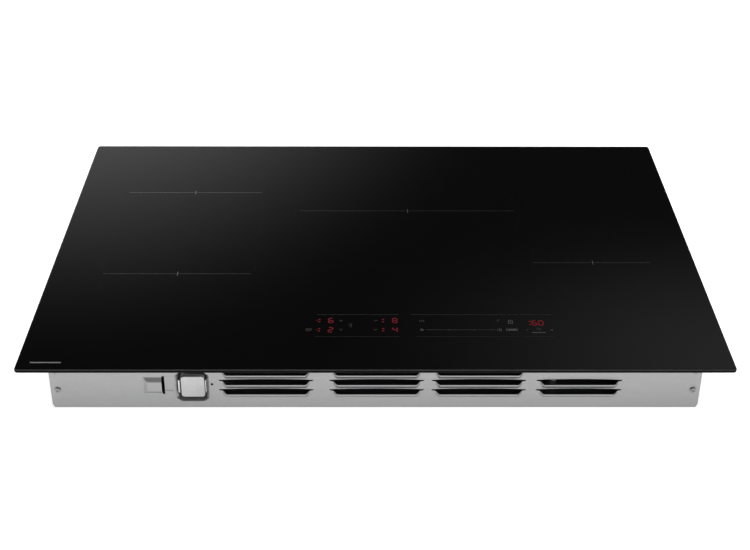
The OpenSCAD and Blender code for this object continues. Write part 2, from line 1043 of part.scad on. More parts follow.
// Nylon bushing for the supply cable, with its nut inside the wall
module cable_bushing() {
    flange_r = bushing_r + 4;
    color("#1b1b1d")
        translate([bushing_x, half_d, bushing_z]) {
            difference() {
                union() {
                    rod_y(bushing_r, -8, 6);
                    rod_y(flange_r, 0, 3);
                }
                rod_y(bushing_bore_r, -9, 7);
            }
            difference() {
                translate([0, -sheet_t, 0])
                    rotate([90, 0, 0])
                        cylinder(r = flange_r, h = 4, $fn = 6);
                rod_y(bushing_r + 0.1, -9, 0);
            }
        }
}

// ---------- Controls ----------

// Shallow plastic tray that holds the control board just under the glass
module control_holder() {
    x0 = control_x0 - holder_gap;
    x1 = control_x1 + holder_gap;
    y0 = control_y - control_d / 2 - holder_gap;
    y1 = control_y + control_d / 2 + holder_gap;
    leg_r = 4;
    leg_inset = 24;
    color("#2a2b2e")
        difference() {
            union() {
                span([x0, y0, holder_z], [x1, y1, control_top]);
                for (x = [x0 + leg_inset, x1 - leg_inset])
                    for (y = [y0 + 6, y1 - 6])
                        translate([x, y, bottom_top])
                            cylinder(r = leg_r, h = holder_z - bottom_top + 1);
            }
            difference() {
                span([x0 + holder_wall, y0 + holder_wall, holder_z + holder_wall],
                     [x1 - holder_wall, y1 - holder_wall, height]);
                for (x = [control_x0 + 20 : 52 : control_x1])
                    span([x, y0, holder_z], [x + 2, y1, control_z]);
            }
            span([ribbon_x - 9, ribbon_y - 6, holder_z - 1],
                 [ribbon_x + 7, ribbon_y + 6, holder_z + holder_wall + 1]);
        }
}

module control_board() {
    color("#14503a")
        span([control_x0, control_y - control_d / 2, control_z],
             [control_x1, control_y + control_d / 2, control_top]);
}

// Seven-segment displays under the glass
module led_displays() {
    display_t = glass_z - 0.6 - control_top;
    color("#d9d4c8") {
        for (at = digits_at)
            translate([at[0] - digit_w / 2, at[1] - digit_h / 2, control_top])
                cube([digit_w, digit_h, display_t]);
        translate([timer_at[0] - 12, timer_at[1] - digit_h / 2, control_top])
            cube([24, digit_h, display_t]);
    }
}

// Touch sensor springs that press on the underside of the glass
module touch_springs() {
    color("#c7b98a")
        for (at = keys_at)
            translate([at[0], at[1], control_top])
                spring_sleeve(3.6, 0.7, glass_z - control_top);
}

// Flat cable from the control board down to the right inverter board
module ribbon_cable() {
    tape = 0.6;
    route = [[0, control_z], [0, 47], [7, 38], [7, 30], [0, 22], [0, board_top + 6.4]];
    color("#b8babd")
        translate([0, ribbon_y, 0])
            bar_x(concat(route, [for (i = [len(route) - 1 : -1 : 0]) route[i] + [tape, 0]]),
                  ribbon_x - 5, ribbon_x + 5);
}

// ---------- Induction coils ----------

// Aluminium plate on four folded legs, with a hole under each coil's middle
module coil_plate(low, high, coils, leg_y) {
    leg_w = 20;
    color("#c2c5c8")
        difference() {
            union() {
                span([low[0], low[1], plate_z], [high[0], high[1], plate_z + plate_t]);
                for (y = leg_y)
                    for (x = [low[0], high[0] - plate_t])
                        span([x, y - leg_w / 2, bottom_top], [x + plate_t, y + leg_w / 2, plate_z + plate_t]);
            }
            for (c = coils)
                translate([c[0], c[1], plate_z - cut_over])
                    linear_extrude(plate_t + 2 * cut_over) {
                        circle(12);
                        for (a = [45 : 90 : 315])
                            rotate(a)
                                translate([0.55 * c[2], 0])
                                    rounded_rect(0.3 * c[2], 24, 8);
                    }
        }
}

rear_left_coil = [rear_left_at[0], rear_left_at[1], left_coil_r];
front_left_coil = [front_left_at[0], front_left_at[1], left_coil_r];
centre_coil = [centre_at[0], centre_at[1], centre_coil_r];
right_coil = [right_at[0], right_at[1], right_coil_r];
all_coils = [rear_left_coil, front_left_coil, centre_coil, right_coil];

module coil_plate_left() {
    coil_plate([-325, -165], [-138, 226], [rear_left_coil, front_left_coil], [-110, 20, 205]);
}

module coil_plate_centre() {
    coil_plate([-96, -56], [180, 222], [centre_coil], [-40, 150]);
}

module coil_plate_right() {
    coil_plate([186, -120], [330, 26], [right_coil], [-100, 10]);
}

// Puts its child at a coil's middle, at height z
module at_coil(c, z) {
    translate([c[0], c[1], z])
        children();
}

// Plastic carrier: a disc with windows between its arms, a hub and a rim
module coil_carrier(c) {
    arms = c[2] > 100 ? 8 : 6;
    rim = 5;
    hub_r = 18;
    color("#3b3530")
        at_coil(c, carrier_z)
            difference() {
                cylinder(r = c[2], h = carrier_t);
                translate([0, 0, -cut_over])
                    cylinder(r = 4.2, h = carrier_t + 2 * cut_over);
                translate([0, 0, -cut_over])
                    linear_extrude(carrier_t + 2 * cut_over)
                        difference() {
                            circle(c[2] - rim);
                            circle(hub_r);
                            for (i = [0 : arms - 1])
                                rotate(i * 360 / arms)
                                    translate([c[2] / 2, 0])
                                        square([c[2], 22], center = true);
                        }
            }
}

// Ferrite bars on the carrier's arms
module ferrite_bars(c) {
    arms = c[2] > 100 ? 8 : 6;
    color("#26262a")
        at_coil(c, ferrite_z)
            for (i = [0 : arms - 1])
                rotate(i * 360 / arms)
                    translate([22, -7, 0])
                        cube([c[2] - 30, 14, ferrite_t]);
}

// The wound litz wire as one ring with a groove between turns
module coil_winding(c) {
    r0 = 20;
    turns = floor((c[2] - 2 - r0) / turn_pitch);
    color("#b06a3a")
        at_coil(c, winding_z)
            rotate_extrude()
                polygon(concat(
                    [[r0, 0]],
                    [[r0 + turns * turn_pitch, 0]],
                    [for (i = [turns : -1 : 1]) each [
                        [r0 + i * turn_pitch, winding_t - 1],
                        [r0 + (i - 0.25) * turn_pitch, winding_t],
                        [r0 + (i - 0.75) * turn_pitch, winding_t]
                    ]],
                    [[r0, winding_t - 1]]
                ));
}

// Insulating sheet between the winding and the glass
module mica_sheet(c) {
    color("#b9b1a0")
        at_coil(c, mica_z)
            difference() {
                cylinder(r = c[2], h = mica_t);
                translate([0, 0, -cut_over])
                    cylinder(r = 9, h = mica_t + 2 * cut_over);
            }
}

module coil_carrier_rear_left() { coil_carrier(rear_left_coil); }
module coil_carrier_front_left() { coil_carrier(front_left_coil); }
module coil_carrier_centre() { coil_carrier(centre_coil); }
module coil_carrier_right() { coil_carrier(right_coil); }
module coil_winding_rear_left() { coil_winding(rear_left_coil); }
module coil_winding_front_left() { coil_winding(front_left_coil); }
module coil_winding_centre() { coil_winding(centre_coil); }
module coil_winding_right() { coil_winding(right_coil); }
module ferrite_bars_rear_left() { ferrite_bars(rear_left_coil); }
module ferrite_bars_front_left() { ferrite_bars(front_left_coil); }
module ferrite_bars_centre() { ferrite_bars(centre_coil); }
module ferrite_bars_right() { ferrite_bars(right_coil); }
module mica_sheet_rear_left() { mica_sheet(rear_left_coil); }
module mica_sheet_front_left() { mica_sheet(front_left_coil); }
module mica_sheet_centre() { mica_sheet(centre_coil); }
module mica_sheet_right() { mica_sheet(right_coil); }

// Temperature sensor in its rubber sleeve, in the middle of each coil
module coil_sensors() {
    color("#8c3b2e")
        for (c = all_coils)
            at_coil(c, ferrite_z) {
                cylinder(r = 7, h = glass_z - ferrite_z);
                translate([0, 0, -4])
                    cylinder(r = 4, h = 5);
            }
}

// Four small springs that press each coil up against the glass
module coil_springs() {
    color("#8f9296")
        for (c = all_coils)
            for (a = [0 : 90 : 270])
                at_coil(c, plate_z + plate_t)
                    rotate(a)
                        translate([(c[2] > 100 ? 0.42 : 0.5) * c[2], 0, 0])
                            spring_sleeve(5, 0.8, carrier_z - plate_z - plate_t);
}

// ---------- What is drawn ----------

glass_plate();
worktop_seal();
frame_adhesive();
mounting_frame();
base_tray();
side_panel_left();
side_panel_right();
front_screws();
rear_screws();
retaining_pad_front();
retaining_pad_rear();
pad_spring_front();
pad_spring_rear();
pad_guide_front();
pad_guide_rear();
fan_housing_left();
fan_housing_right();
fan_rotor_left();
fan_rotor_right();
fan_screws();
inverter_board_left();
inverter_board_right();
heatsink_left();
heatsink_right();
power_transistors();
film_capacitors();
bus_capacitors();
filter_chokes();
mains_filter_board();
board_standoffs();
terminal_box();
terminal_block();
terminal_cover();
cable_bushing();
control_holder();
control_board();
led_displays();
touch_springs();
ribbon_cable();
coil_plate_left();
coil_plate_centre();
coil_plate_right();
coil_carrier_rear_left();
coil_carrier_front_left();
coil_carrier_centre();
coil_carrier_right();
coil_winding_rear_left();
coil_winding_front_left();
coil_winding_centre();
coil_winding_right();
ferrite_bars_rear_left();
ferrite_bars_front_left();
ferrite_bars_centre();
ferrite_bars_right();
mica_sheet_rear_left();
mica_sheet_front_left();
mica_sheet_centre();
mica_sheet_right();
coil_sensors();
coil_springs();
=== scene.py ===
import math

import bmesh
import bpy
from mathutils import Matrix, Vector


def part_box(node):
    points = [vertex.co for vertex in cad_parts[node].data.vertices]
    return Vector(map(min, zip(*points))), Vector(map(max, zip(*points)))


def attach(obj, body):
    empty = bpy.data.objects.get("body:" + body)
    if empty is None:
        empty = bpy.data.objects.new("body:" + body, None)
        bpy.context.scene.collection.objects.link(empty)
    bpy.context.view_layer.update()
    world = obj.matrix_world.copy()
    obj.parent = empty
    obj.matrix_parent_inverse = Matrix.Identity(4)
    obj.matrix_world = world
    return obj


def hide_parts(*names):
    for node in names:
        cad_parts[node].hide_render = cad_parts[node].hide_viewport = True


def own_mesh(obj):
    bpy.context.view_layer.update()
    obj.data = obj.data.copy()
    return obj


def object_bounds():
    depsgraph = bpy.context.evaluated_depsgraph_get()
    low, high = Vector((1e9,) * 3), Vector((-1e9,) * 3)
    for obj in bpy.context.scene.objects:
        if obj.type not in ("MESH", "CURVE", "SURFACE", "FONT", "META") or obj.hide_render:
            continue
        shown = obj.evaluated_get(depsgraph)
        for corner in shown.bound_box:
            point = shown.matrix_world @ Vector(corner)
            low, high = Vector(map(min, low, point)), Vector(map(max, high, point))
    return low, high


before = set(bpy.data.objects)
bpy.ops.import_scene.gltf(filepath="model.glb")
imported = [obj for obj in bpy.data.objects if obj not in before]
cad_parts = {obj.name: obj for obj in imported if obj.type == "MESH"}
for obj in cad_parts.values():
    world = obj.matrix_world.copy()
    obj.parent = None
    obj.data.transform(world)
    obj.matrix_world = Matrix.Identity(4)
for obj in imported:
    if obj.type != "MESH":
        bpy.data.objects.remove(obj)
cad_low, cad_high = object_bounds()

# Looks of a built-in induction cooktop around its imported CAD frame. Lengths are in metres, and MM turns
# millimetres into metres. The origin is under the middle of the tray, X to the right, Y to the back and Z up.
MM = 0.001


# ---------- Materials ----------

def add_node(tree, kind, **inputs):
    """A new shader node with values on its inputs; an underscore stands for a space in an input's name."""
    node = tree.nodes.new("ShaderNode" + kind)
    for name, value in inputs.items():
        node.inputs[name.replace("_", " ")].default_value = value
    return node


def shade(color, factor):
    """The colour made lighter or darker by a factor."""
    return tuple(min(1.0, c * factor) for c in color)


class Shader:
    """A Principled material with short helpers for its texture nodes."""

    def __init__(self, name, color, roughness, metallic=0.0, ior=1.5):
        self.material = bpy.data.materials.new(name)
        self.material.use_nodes = True
        self.tree = self.material.node_tree
        self.surface = self.tree.nodes["Principled BSDF"]
        self.place = add_node(self.tree, "TexCoord").outputs["Object"]
        self.set("Base Color", (*color, 1.0))
        self.set("Roughness", roughness)
        self.set("Metallic", metallic)
        self.set("IOR", ior)

    def set(self, socket, value):
        self.surface.inputs[socket].default_value = value

    def link(self, output, node_input):
        self.tree.links.new(output, node_input)

    def node_at(self, vector, kind, **inputs):
        """A new node that reads a vector."""
        node = add_node(self.tree, kind, **inputs)
        self.link(vector, node.inputs["Vector"])
        return node

    def coordinates(self, stretch):
        """Object coordinates, scaled by stretch along X, Y and Z."""
        return self.node_at(self.place, "Mapping", Scale=stretch).outputs["Vector"]

    def noise(self, size, stretch=(1, 1, 1), detail=4.0):
        """Soft noise whose blobs are about size across."""
        node = self.node_at(self.coordinates(stretch), "TexNoise", Scale=1.0 / size, Detail=detail)
        return node.outputs["Fac"]

    def cells(self, size, feature="F1", output="Color", stretch=(1, 1, 1)):
        """Voronoi cells about size across."""
        node = self.node_at(self.coordinates(stretch), "TexVoronoi", Scale=1.0 / size)
        node.feature = feature
        return node.outputs[output]

    def wave(self, vector, pitch, distortion=0.0):
        """A wave texture that repeats every pitch."""
        return self.node_at(vector, "TexWave", Scale=math.pi / (10.0 * pitch), Distortion=distortion)

    def stripes(self, pitch, axis="X", distortion=0.0):
        """Even stripes across an axis."""
        node = self.wave(self.place, pitch, distortion)
        node.bands_direction = axis
        return node.outputs["Fac"]

    def rings(self, centre, pitch):
        """Even rings about an upright line through centre."""
        moved = self.node_at(self.place, "Mapping", Location=(-centre[0], -centre[1], 0.0))
        node = self.wave(moved.outputs["Vector"], pitch)
        node.wave_type = "RINGS"
        node.rings_direction = "Z"
        return node.outputs["Fac"]

    def above(self, level, axis="Z"):
        """1 where the axis's coordinate is over level, and 0 below it."""
        split = self.node_at(self.place, "SeparateXYZ")
        step = add_node(self.tree, "Math")
        step.operation = "GREATER_THAN"
        step.inputs[1].default_value = level
        self.link(split.outputs[axis], step.inputs[0])
        return step.outputs["Value"]

    def ramp(self, value, *stops):
        """Colours along value; each stop is (place, colour)."""
        node = add_node(self.tree, "ValToRGB")
        while len(node.color_ramp.elements) < len(stops):
            node.color_ramp.elements.new(0.5)
        for element, (place, color) in zip(node.color_ramp.elements, stops):
            element.position = place
            element.color = (*color, 1.0)
        self.link(value, node.inputs["Fac"])
        return node.outputs["Color"]

    def tones(self, value, color, first, last, ends=(0.3, 0.7)):
        """A colour that goes from one shade to another along value."""
        return self.ramp(value, (ends[0], shade(color, first)), (ends[1], shade(color, last)))

    def spread(self, value, low, high, low_in=0.3, high_in=0.7):
        """Value from low_in to high_in, turned into low to high."""
        node = add_node(self.tree, "MapRange", From_Min=low_in, From_Max=high_in, To_Min=low, To_Max=high)
        self.link(value, node.inputs["Value"])
        return node.outputs["Result"]

    def mix(self, factor, a, b):
        """Colour a where factor is 0 and b where it is 1; each is a colour or an output."""
        node = add_node(self.tree, "Mix")
        node.data_type = "RGBA"
        self.link(factor, node.inputs["Factor"])
        for socket, value in ((node.inputs[6], a), (node.inputs[7], b)):
            if isinstance(value, tuple):
                socket.default_value = (*value, 1.0)
            else:
                self.link(value, socket)
        return node.outputs[2]

    def color(self, output):
        self.link(output, self.surface.inputs["Base Color"])

    def roughness(self, output):
        self.link(output, self.surface.inputs["Roughness"])

    def gloss(self, size, low, high, **noise):
        """Lets the roughness drift between low and high, over patches about size across."""
        self.roughness(self.spread(self.noise(size, **noise), low, high))

    def bump(self, height, depth, strength=1.0):
        """Adds relief of the given depth."""
        node = add_node(self.tree, "Bump", Strength=strength, Distance=depth)
        self.link(height, node.inputs["Height"])
        self.link(node.outputs["Normal"], self.surface.inputs["Normal"])


def plastic(name, color, roughness, grain=0.6 * MM, depth=0.02 * MM):
    """Moulded plastic: fine grain in its surface, with slow changes of shade and gloss."""
    s = Shader(name, color, roughness)
    s.color(s.tones(s.noise(18 * MM), color, 0.88, 1.12))
    s.gloss(7 * MM, roughness - 0.06, roughness + 0.08)
    s.bump(s.noise(grain, detail=2.0), depth)
    return s.material


def metal(name, color, roughness, grain=(1, 1, 1), contrast=0.08):
    """Drawn or rolled metal; grain stretches the fine lines along one axis."""
    s = Shader(name, color, roughness, metallic=1.0)
    lines = s.noise(1.2 * MM, stretch=grain, detail=6.0)
    s.color(s.tones(s.noise(25 * MM), color, 1 - contrast, 1 + contrast))
    s.roughness(s.spread(lines, roughness - 0.07, roughness + 0.09))
    s.bump(lines, 0.01 * MM)
    return s.material


def galvanised_sheet():
    """Bare zinc-coated steel: soft crystals of slightly different gloss, and faint rolling lines along X."""
    grey = (0.325, 0.325, 0.329)
    s = Shader("galvanised_sheet", grey, 0.36, metallic=0.86)
    crystals = s.cells(5 * MM, stretch=(1, 1, 1.3))
    rolled = s.noise(1.5 * MM, stretch=(0.04, 1, 1), detail=5.0)
    stain = s.noise(60 * MM)
    s.color(s.mix(s.spread(stain, 0.25, 0.6), s.tones(crystals, grey, 0.95, 1.04, (0.0, 1.0)),
                  s.tones(rolled, grey, 0.96, 1.03)))
    s.roughness(s.spread(crystals, 0.31, 0.41, 0.0, 1.0))
    s.bump(rolled, 0.004 * MM)
    return s.material


def polished_glass():
    """Black glass ceramic: deep black and smooth, with a trace of handling in its gloss."""
    black = (0.0022, 0.0022, 0.0024)
    s = Shader("polished_glass", black, 0.04, ior=1.52)
    s.color(s.tones(s.noise(120 * MM), black, 0.9, 1.1))
    s.gloss(45 * MM, 0.03, 0.055, detail=8.0)
    return s.material


def ground_glass(name, gray, roughness, specular):
    """The plate's ground edge: satin, with fine marks of the wheel along it."""
    grey = (gray, gray, gray * 1.03)
    s = Shader(name, grey, roughness, ior=1.52)
    s.set("Specular IOR Level", specular)
    s.color(s.tones(s.noise(9 * MM), grey, 0.85, 1.15))
    s.gloss(2 * MM, roughness - 0.06, roughness + 0.08, stretch=(0.2, 0.2, 1))
    s.bump(s.noise(0.5 * MM, stretch=(0.1, 0.1, 1)), 0.004 * MM)
    return s.material


def print_material(name, grey, roughness=0.36, metallic=0.0):
    """Screen-printed ceramic ink, finely speckled; the zone lines have a silvery one."""
    color = (grey, grey, grey * 1.01)
    s = Shader(name, color, roughness, metallic, ior=1.6)
    s.color(s.tones(s.noise(0.4 * MM), color, 0.88, 1.12))
    s.gloss(1.5 * MM, roughness * 0.85, roughness * 1.15)
    return s.material


def led_material():
    """Red light from the displays, a little uneven along each segment."""
    red = (0.155, 0.006, 0.0125)
    s = Shader("led_light", (0.02, 0.002, 0.002), 0.4)
    s.set("Emission Strength", 1.0)
    s.link(s.tones(s.noise(2.5 * MM), red, 0.8, 1.2), s.surface.inputs["Emission Color"])
    s.color(s.ramp(s.noise(2.5 * MM), (0.3, (0.016, 0.001, 0.001)), (0.7, (0.024, 0.002, 0.002))))
    return s.material


def foam_material():
    """Closed-cell foam with open pores in its skin, each pore painted darker at its middle as shade where the
    relief dips.
    """
    grey = (0.028, 0.028, 0.03)
    s = Shader("foam_seal", grey, 0.9)
    pores = s.cells(0.9 * MM, output="Distance")
    # painted shade: each pore is darker towards its middle, where the bump from the same pores dips
    s.color(s.tones(pores, grey, 0.5, 1.25, (0.0, 0.6)))
    s.gloss(4 * MM, 0.82, 0.95)
    s.bump(pores, 0.15 * MM, 0.6)
    return s.material


def board_material(name, mask, board_top):
    """Solder mask with copper tracks and tinned pads on the board, and dark parts that stand on it."""
    s = Shader(name, mask, 0.35)
    tracks = s.cells(9 * MM, feature="DISTANCE_TO_EDGE", output="Distance")
    over_track = s.tones(tracks, mask, 1.7, 1.0, (0.05, 0.09))
    pads = s.cells(6 * MM, output="Distance")
    tinned = s.ramp(pads, (0.14, (0.55, 0.54, 0.5)), (0.18, (0.0, 0.0, 0.0)))
    on_pad = s.ramp(pads, (0.14, (1.0, 1.0, 1.0)), (0.18, (0.0, 0.0, 0.0)))
    parts = s.ramp(s.noise(22 * MM, detail=0.0), (0.42, (0.02, 0.02, 0.022)), (0.5, (0.5, 0.48, 0.42)),
                   (0.56, (0.03, 0.08, 0.2)))
    s.color(s.mix(s.above(board_top + 0.02 * MM), s.mix(on_pad, over_track, tinned), parts))
    s.gloss(3 * MM, 0.28, 0.45)
    s.bump(tracks, 0.02 * MM)
    return s.material


def two_zone(name, low_color, high_color, level, roughness, metallic):
    """One material below a level and another above it, such as tinned legs under a moulded body. metallic has
    a value for each."""
    s = Shader(name, low_color, roughness)
    high = s.above(level)
    grain = s.noise(4 * MM)
    s.color(s.mix(high, s.tones(grain, low_color, 0.88, 1.1), s.tones(grain, high_color, 0.88, 1.1)))
    s.link(s.spread(high, *metallic, 0.0, 1.0), s.surface.inputs["Metallic"])
    s.gloss(2 * MM, roughness - 0.08, roughness + 0.08)
    s.bump(s.noise(0.5 * MM), 0.01 * MM)
    return s.material


def winding_material(name, centre, pitch):
    """Litz wire wound in a flat spiral: copper turns with their twisted strands, and painted shade in the
    crevices between the turns.
    """
    copper = (0.42, 0.17, 0.07)
    s = Shader(name, copper, 0.42, metallic=0.7)
    turns = s.rings(centre, pitch)
    strands = s.cells(0.8 * MM, output="Distance", stretch=(1, 1, 0.4))
    # painted shade: the copper darkens to about a third in a band between neighbouring turns
    s.color(s.mix(turns, s.tones(strands, copper, 1.2, 0.7, (0.0, 0.7)), shade(copper, 0.35)))
    s.roughness(s.spread(strands, 0.34, 0.55, 0.0, 0.7))
    s.bump(strands, 0.12 * MM, 0.7)
    return s.material


def choke_material():
    """Enamelled copper wire wound round a core, with painted shade in the grooves between turns and a painted
    highlight along each turn's crest.
    """
    copper = (0.45, 0.16, 0.05)
    s = Shader("choke_wire", copper, 0.28, metallic=0.85)
    wires = s.stripes(1.3 * MM, "DIAGONAL", 0.4)
    # painted shade and highlight: each wire is dark where the bump dips and lighter than the copper on its
    # crest
    s.color(s.ramp(wires, (0.1, shade(copper, 0.35)), (0.5, copper), (0.9, shade(copper, 1.2))))
    s.gloss(3 * MM, 0.22, 0.36)
    s.bump(wires, 0.35 * MM, 0.8)
    return s.material


def ribbon_material():
    """Grey flat cable with a groove between its conductors, where the grey is painted darker as shade, and one
    red edge.
    """
    grey = (0.42, 0.43, 0.45)
    s = Shader("ribbon_cable", grey, 0.5)
    cores = s.stripes(1.27 * MM, "X")
    left_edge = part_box("ribbon_cable")[0].x + 1.2 * MM
    # painted shade: the grey drops to 0.6 in the grooves between conductors, where the bump dips; the red edge
    # is the cable's own colour
    s.color(s.mix(s.above(left_edge, "X"), (0.5, 0.03, 0.03), s.tones(cores, grey, 0.6, 1.0, (0.1, 0.5))))
    s.gloss(5 * MM, 0.42, 0.58)
    s.bump(cores, 0.2 * MM, 0.7)
    return s.material


def mica_material():
    """Pressed mica: pale flakes with a faint shine."""
    tan = (0.42, 0.37, 0.28)
    s = Shader("mica_sheet", tan, 0.45)
    flakes = s.cells(3 * MM, stretch=(1, 1.4, 1))
    s.color(s.tones(flakes, tan, 0.75, 1.25, (0.0, 1.0)))
    s.roughness(s.spread(flakes, 0.3, 0.6, 0.0, 1.0))
    s.bump(s.noise(1.5 * MM), 0.03 * MM)
    return s.material


# ---------- Mesh helpers ----------

def add_object(name, data):
    """A new object in the scene."""
    made = bpy.data.objects.new(name, data)
    bpy.context.scene.collection.objects.link(made)
    return made


def modify(target, kind, **settings):
    """Adds a modifier with the given settings."""
    modifier = target.modifiers.new(kind.lower(), kind)
    for name, value in settings.items():
        setattr(modifier, name, value)


def piece(name, mesh, materials, body):
    """Makes a mesh a named piece that rides on a body, with the given materials."""
    for m in materials:
        mesh.materials.append(m)
    made = add_object(name, mesh)
    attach(made, body)
    return made


def plain_mesh(bm, name):
    """Turns a bmesh into a mesh."""
    mesh = bpy.data.meshes.new(name)
    bm.to_mesh(mesh)
    bm.free()
    return mesh


def mesh_from(bm, name, smooth=True):
    """Turns a bmesh into a mesh with its normals pointing out, and smooth but for its sharp edges."""
    bmesh.ops.recalc_face_normals(bm, faces=bm.faces)
    mesh = plain_mesh(bm, name)
    if smooth:
        mesh.shade_smooth()
        mesh.set_sharp_from_angle(angle=math.radians(35))
    return mesh


def rounded_outline(half_w, half_d, radius, steps=8):
    """Points round a rectangle with round corners, about the origin."""
    points = []
    for quarter, (sx, sy) in enumerate([(1, 1), (-1, 1), (-1, -1), (1, -1)]):
        for i in range(steps + 1):
            a = math.radians(90 * (quarter + i / steps))
            points.append((sx * (half_w - radius) + radius * math.cos(a),
                           sy * (half_d - radius) + radius * math.sin(a)))
    return points


def loft(bm, rings, close=True):
    """Joins rings of equal length with quads, and caps both ends or joins the last ring to the first.
    Returns the quads of each step, ring by ring."""
    made = [[bm.verts.new(p) for p in ring] for ring in rings]
    pairs = list(zip(made, made[1:]))
    if not close:
        pairs.append((made[-1], made[0]))
    bands = []
    for low, high in pairs:
        n = len(low)
        bands.append([bm.faces.new((low[i], low[(i + 1) % n], high[(i + 1) % n], high[i])) for i in range(n)])
    if close:
        bands.append([bm.faces.new(made[0][::-1]), bm.faces.new(made[-1])])
    return bands


# ---------- Glass ----------

def glass_panel():
    """The glass plate with a satin bevel round its top, a darker ground edge and softened arrises."""
    low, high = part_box("glass_plate")
    half_w = (high.x - low.x) / 2
    half_d = (high.y - low.y) / 2
    corner = 4 * MM
    # (how far in from the edge, height), from the underside to the top
    profile = [(1.60, 0.00), (0.70, 0.00), (0.20, 0.20), (0.00, 0.60), (0.00, 3.05), (0.08, 3.20),
               (0.80, 3.86), (1.05, 3.97), (1.80, 3.97), (3.10, 3.97)]
    face_band, bevel_band = 3, 5
    bm = bmesh.new()
    rings = []
    for inset, height in profile:
        d = inset * MM
        outline = rounded_outline(half_w - d, half_d - d, corner - d)
        rings.append([(x, y, low.z + height * MM) for x, y in outline])
    bands = loft(bm, rings)
    for index, band in ((1, bevel_band), (2, face_band - 1), (2, face_band), (2, face_band + 1)):
        for face in bands[band]:
            face.material_index = index
    finishes = [polished_glass(), ground_glass("ground_bevel", 0.05, 0.38, 0.5),
                ground_glass("ground_edge", 0.002, 0.3, 0.05)]
    made = piece("glass_panel", mesh_from(bm, "glass_panel"), finishes, "chassis")
    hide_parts("glass_plate")


def seal_ring():
    """Foam seal with rounded edges, slightly fuller in the middle of its band."""
    low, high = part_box("worktop_seal")
    half_w = (high.x - low.x) / 2
    half_d = (high.y - low.y) / 2
    band = 8 * MM
    thick = high.z - low.z
    soft = 0.5 * MM
    section = [(0.0, soft), (soft * 0.4, 0.1 * soft), (band / 2, 0.0), (band - soft * 0.4, 0.1 * soft),
               (band, soft), (band, thick - soft), (band - soft, thick), (soft, thick), (0.0, thick - soft)]
    bm = bmesh.new()
    rings = []
    for inset, height in section:
        outline = rounded_outline(half_w - inset, half_d - inset, max(6 * MM - inset, 1.0 * MM))
        rings.append([(x, y, low.z + height) for x, y in outline])
    loft(bm, rings, close=False)
    made = piece("foam_seal", mesh_from(bm, "foam_seal"), [foam_material()], "chassis")
    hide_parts("worktop_seal")


# ---------- Marks on the glass ----------

GLASS_LOW, GLASS_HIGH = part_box("glass_plate")
FRONT = GLASS_LOW.y
MARK_TOP = GLASS_HIGH.z
MARK_LOW = GLASS_HIGH.z - 0.05 * MM


class Marks:
    """Thin flat marks on the glass. Places are in millimetres: x from the middle, y from the front edge."""

    def __init__(self):
        self.bm = bmesh.new()

    def prism(self, points):
        """A closed slab with the given outline."""
        loft(self.bm, [[(x * MM, FRONT + y * MM, z) for x, y in points] for z in (MARK_LOW, MARK_TOP)])

    def bar(self, a, b, width):
        """A straight stroke from a to b."""
        (ax, ay), (bx, by) = a, b
        length = math.hypot(bx - ax, by - ay)
        nx, ny = (ay - by) / length * width / 2, (bx - ax) / length * width / 2
        self.prism([(ax + nx, ay + ny), (ax - nx, ay - ny), (bx - nx, by - ny), (bx + nx, by + ny)])

    def level(self, y, width, *ends):
        """Straight strokes along x between pairs of ends."""
        for start, end in zip(ends[::2], ends[1::2]):
            self.bar((start, y), (end, y), width)

    def stroke(self, points, width, closed=False):
        """Straight strokes through a list of points."""
        ends = points + points[:1] if closed else points
        for a, b in zip(ends, ends[1:]):
            self.bar(a, b, width)

    def arc(self, centre, radius, width, start=0, end=360, aspect=1.0):
        """A round stroke between two angles in degrees; aspect squeezes it along x."""
        steps = max(6, (end - start) // 4)
        whole = end - start == 360
        half = width / 2
        section = [(half, MARK_LOW), (half, MARK_TOP), (-half, MARK_TOP), (-half, MARK_LOW)]
        rings = []
        for i in range(steps if whole else steps + 1):
            a = math.radians(start + (end - start) * i / steps)
            rings.append([((centre[0] + (radius * aspect + side) * math.cos(a)) * MM,
                           FRONT + (centre[1] + (radius + side) * math.sin(a)) * MM, z)
                          for side, z in section])
        loft(self.bm, rings, close=not whole)

    def piece(self, name, material, slot="glass_black"):
        piece(name, mesh_from(self.bm, name, smooth=False), [material], "chassis")


def zone_marks():
    """Fine lines with a bright tick in the middle, one for each cooking place."""
    tick_w, tick_h, gap = 1.05, 8.6, 1.9
    lines = Marks()
    ticks = Marks()
    # ends of the line, its tick's place, distance from the front edge, width
    for x0, x1, middle, y, width in (
            (-318.4, -145.8, -231.6, 400.8, 0.82), (-318.4, -145.2, -231.3, 196.5, 0.56),
            (-93.6, 178.6, 42.2, 351.5, 0.6), (188.0, 327.5, 259.2, 222.4, 0.72)):
        lines.level(y, width, x0, middle - gap, middle + gap, x1)
        ticks.bar((middle, y - tick_h / 2), (middle, y + tick_h / 2), tick_w)
    lines.piece("zone_lines", print_material("zone_ink", 0.4, 0.2, 0.96))
    ticks.piece("zone_ticks", print_material("tick_ink", 0.42, 0.25, 0.88))


def zone_outlines():
    """The faint outlines of the zones: two circles joined by straight sides, and two single circles."""
    faint = Marks()
    width = 0.45
    flex_x, flex_r, front_y, rear_y = -231.5, 90, 196.5, 400.2
    for y in (front_y, rear_y):
        faint.arc((flex_x, y), flex_r, width)
    for side in (-1, 1):
        faint.bar((flex_x + side * flex_r, front_y), (flex_x + side * flex_r, rear_y), width)
    faint.arc((42, 352), 140.7, width)
    faint.arc((259, 222.4), 73.2, width)
    faint.piece("zone_outlines", print_material("faint_ink", 0.006, 0.08))


SEGMENTS = {"0": "abcdef", "2": "abged", "4": "fgbc", "5": "afgcd", "1": "bc", "6": "afgedc", "8": "abcdefg"}


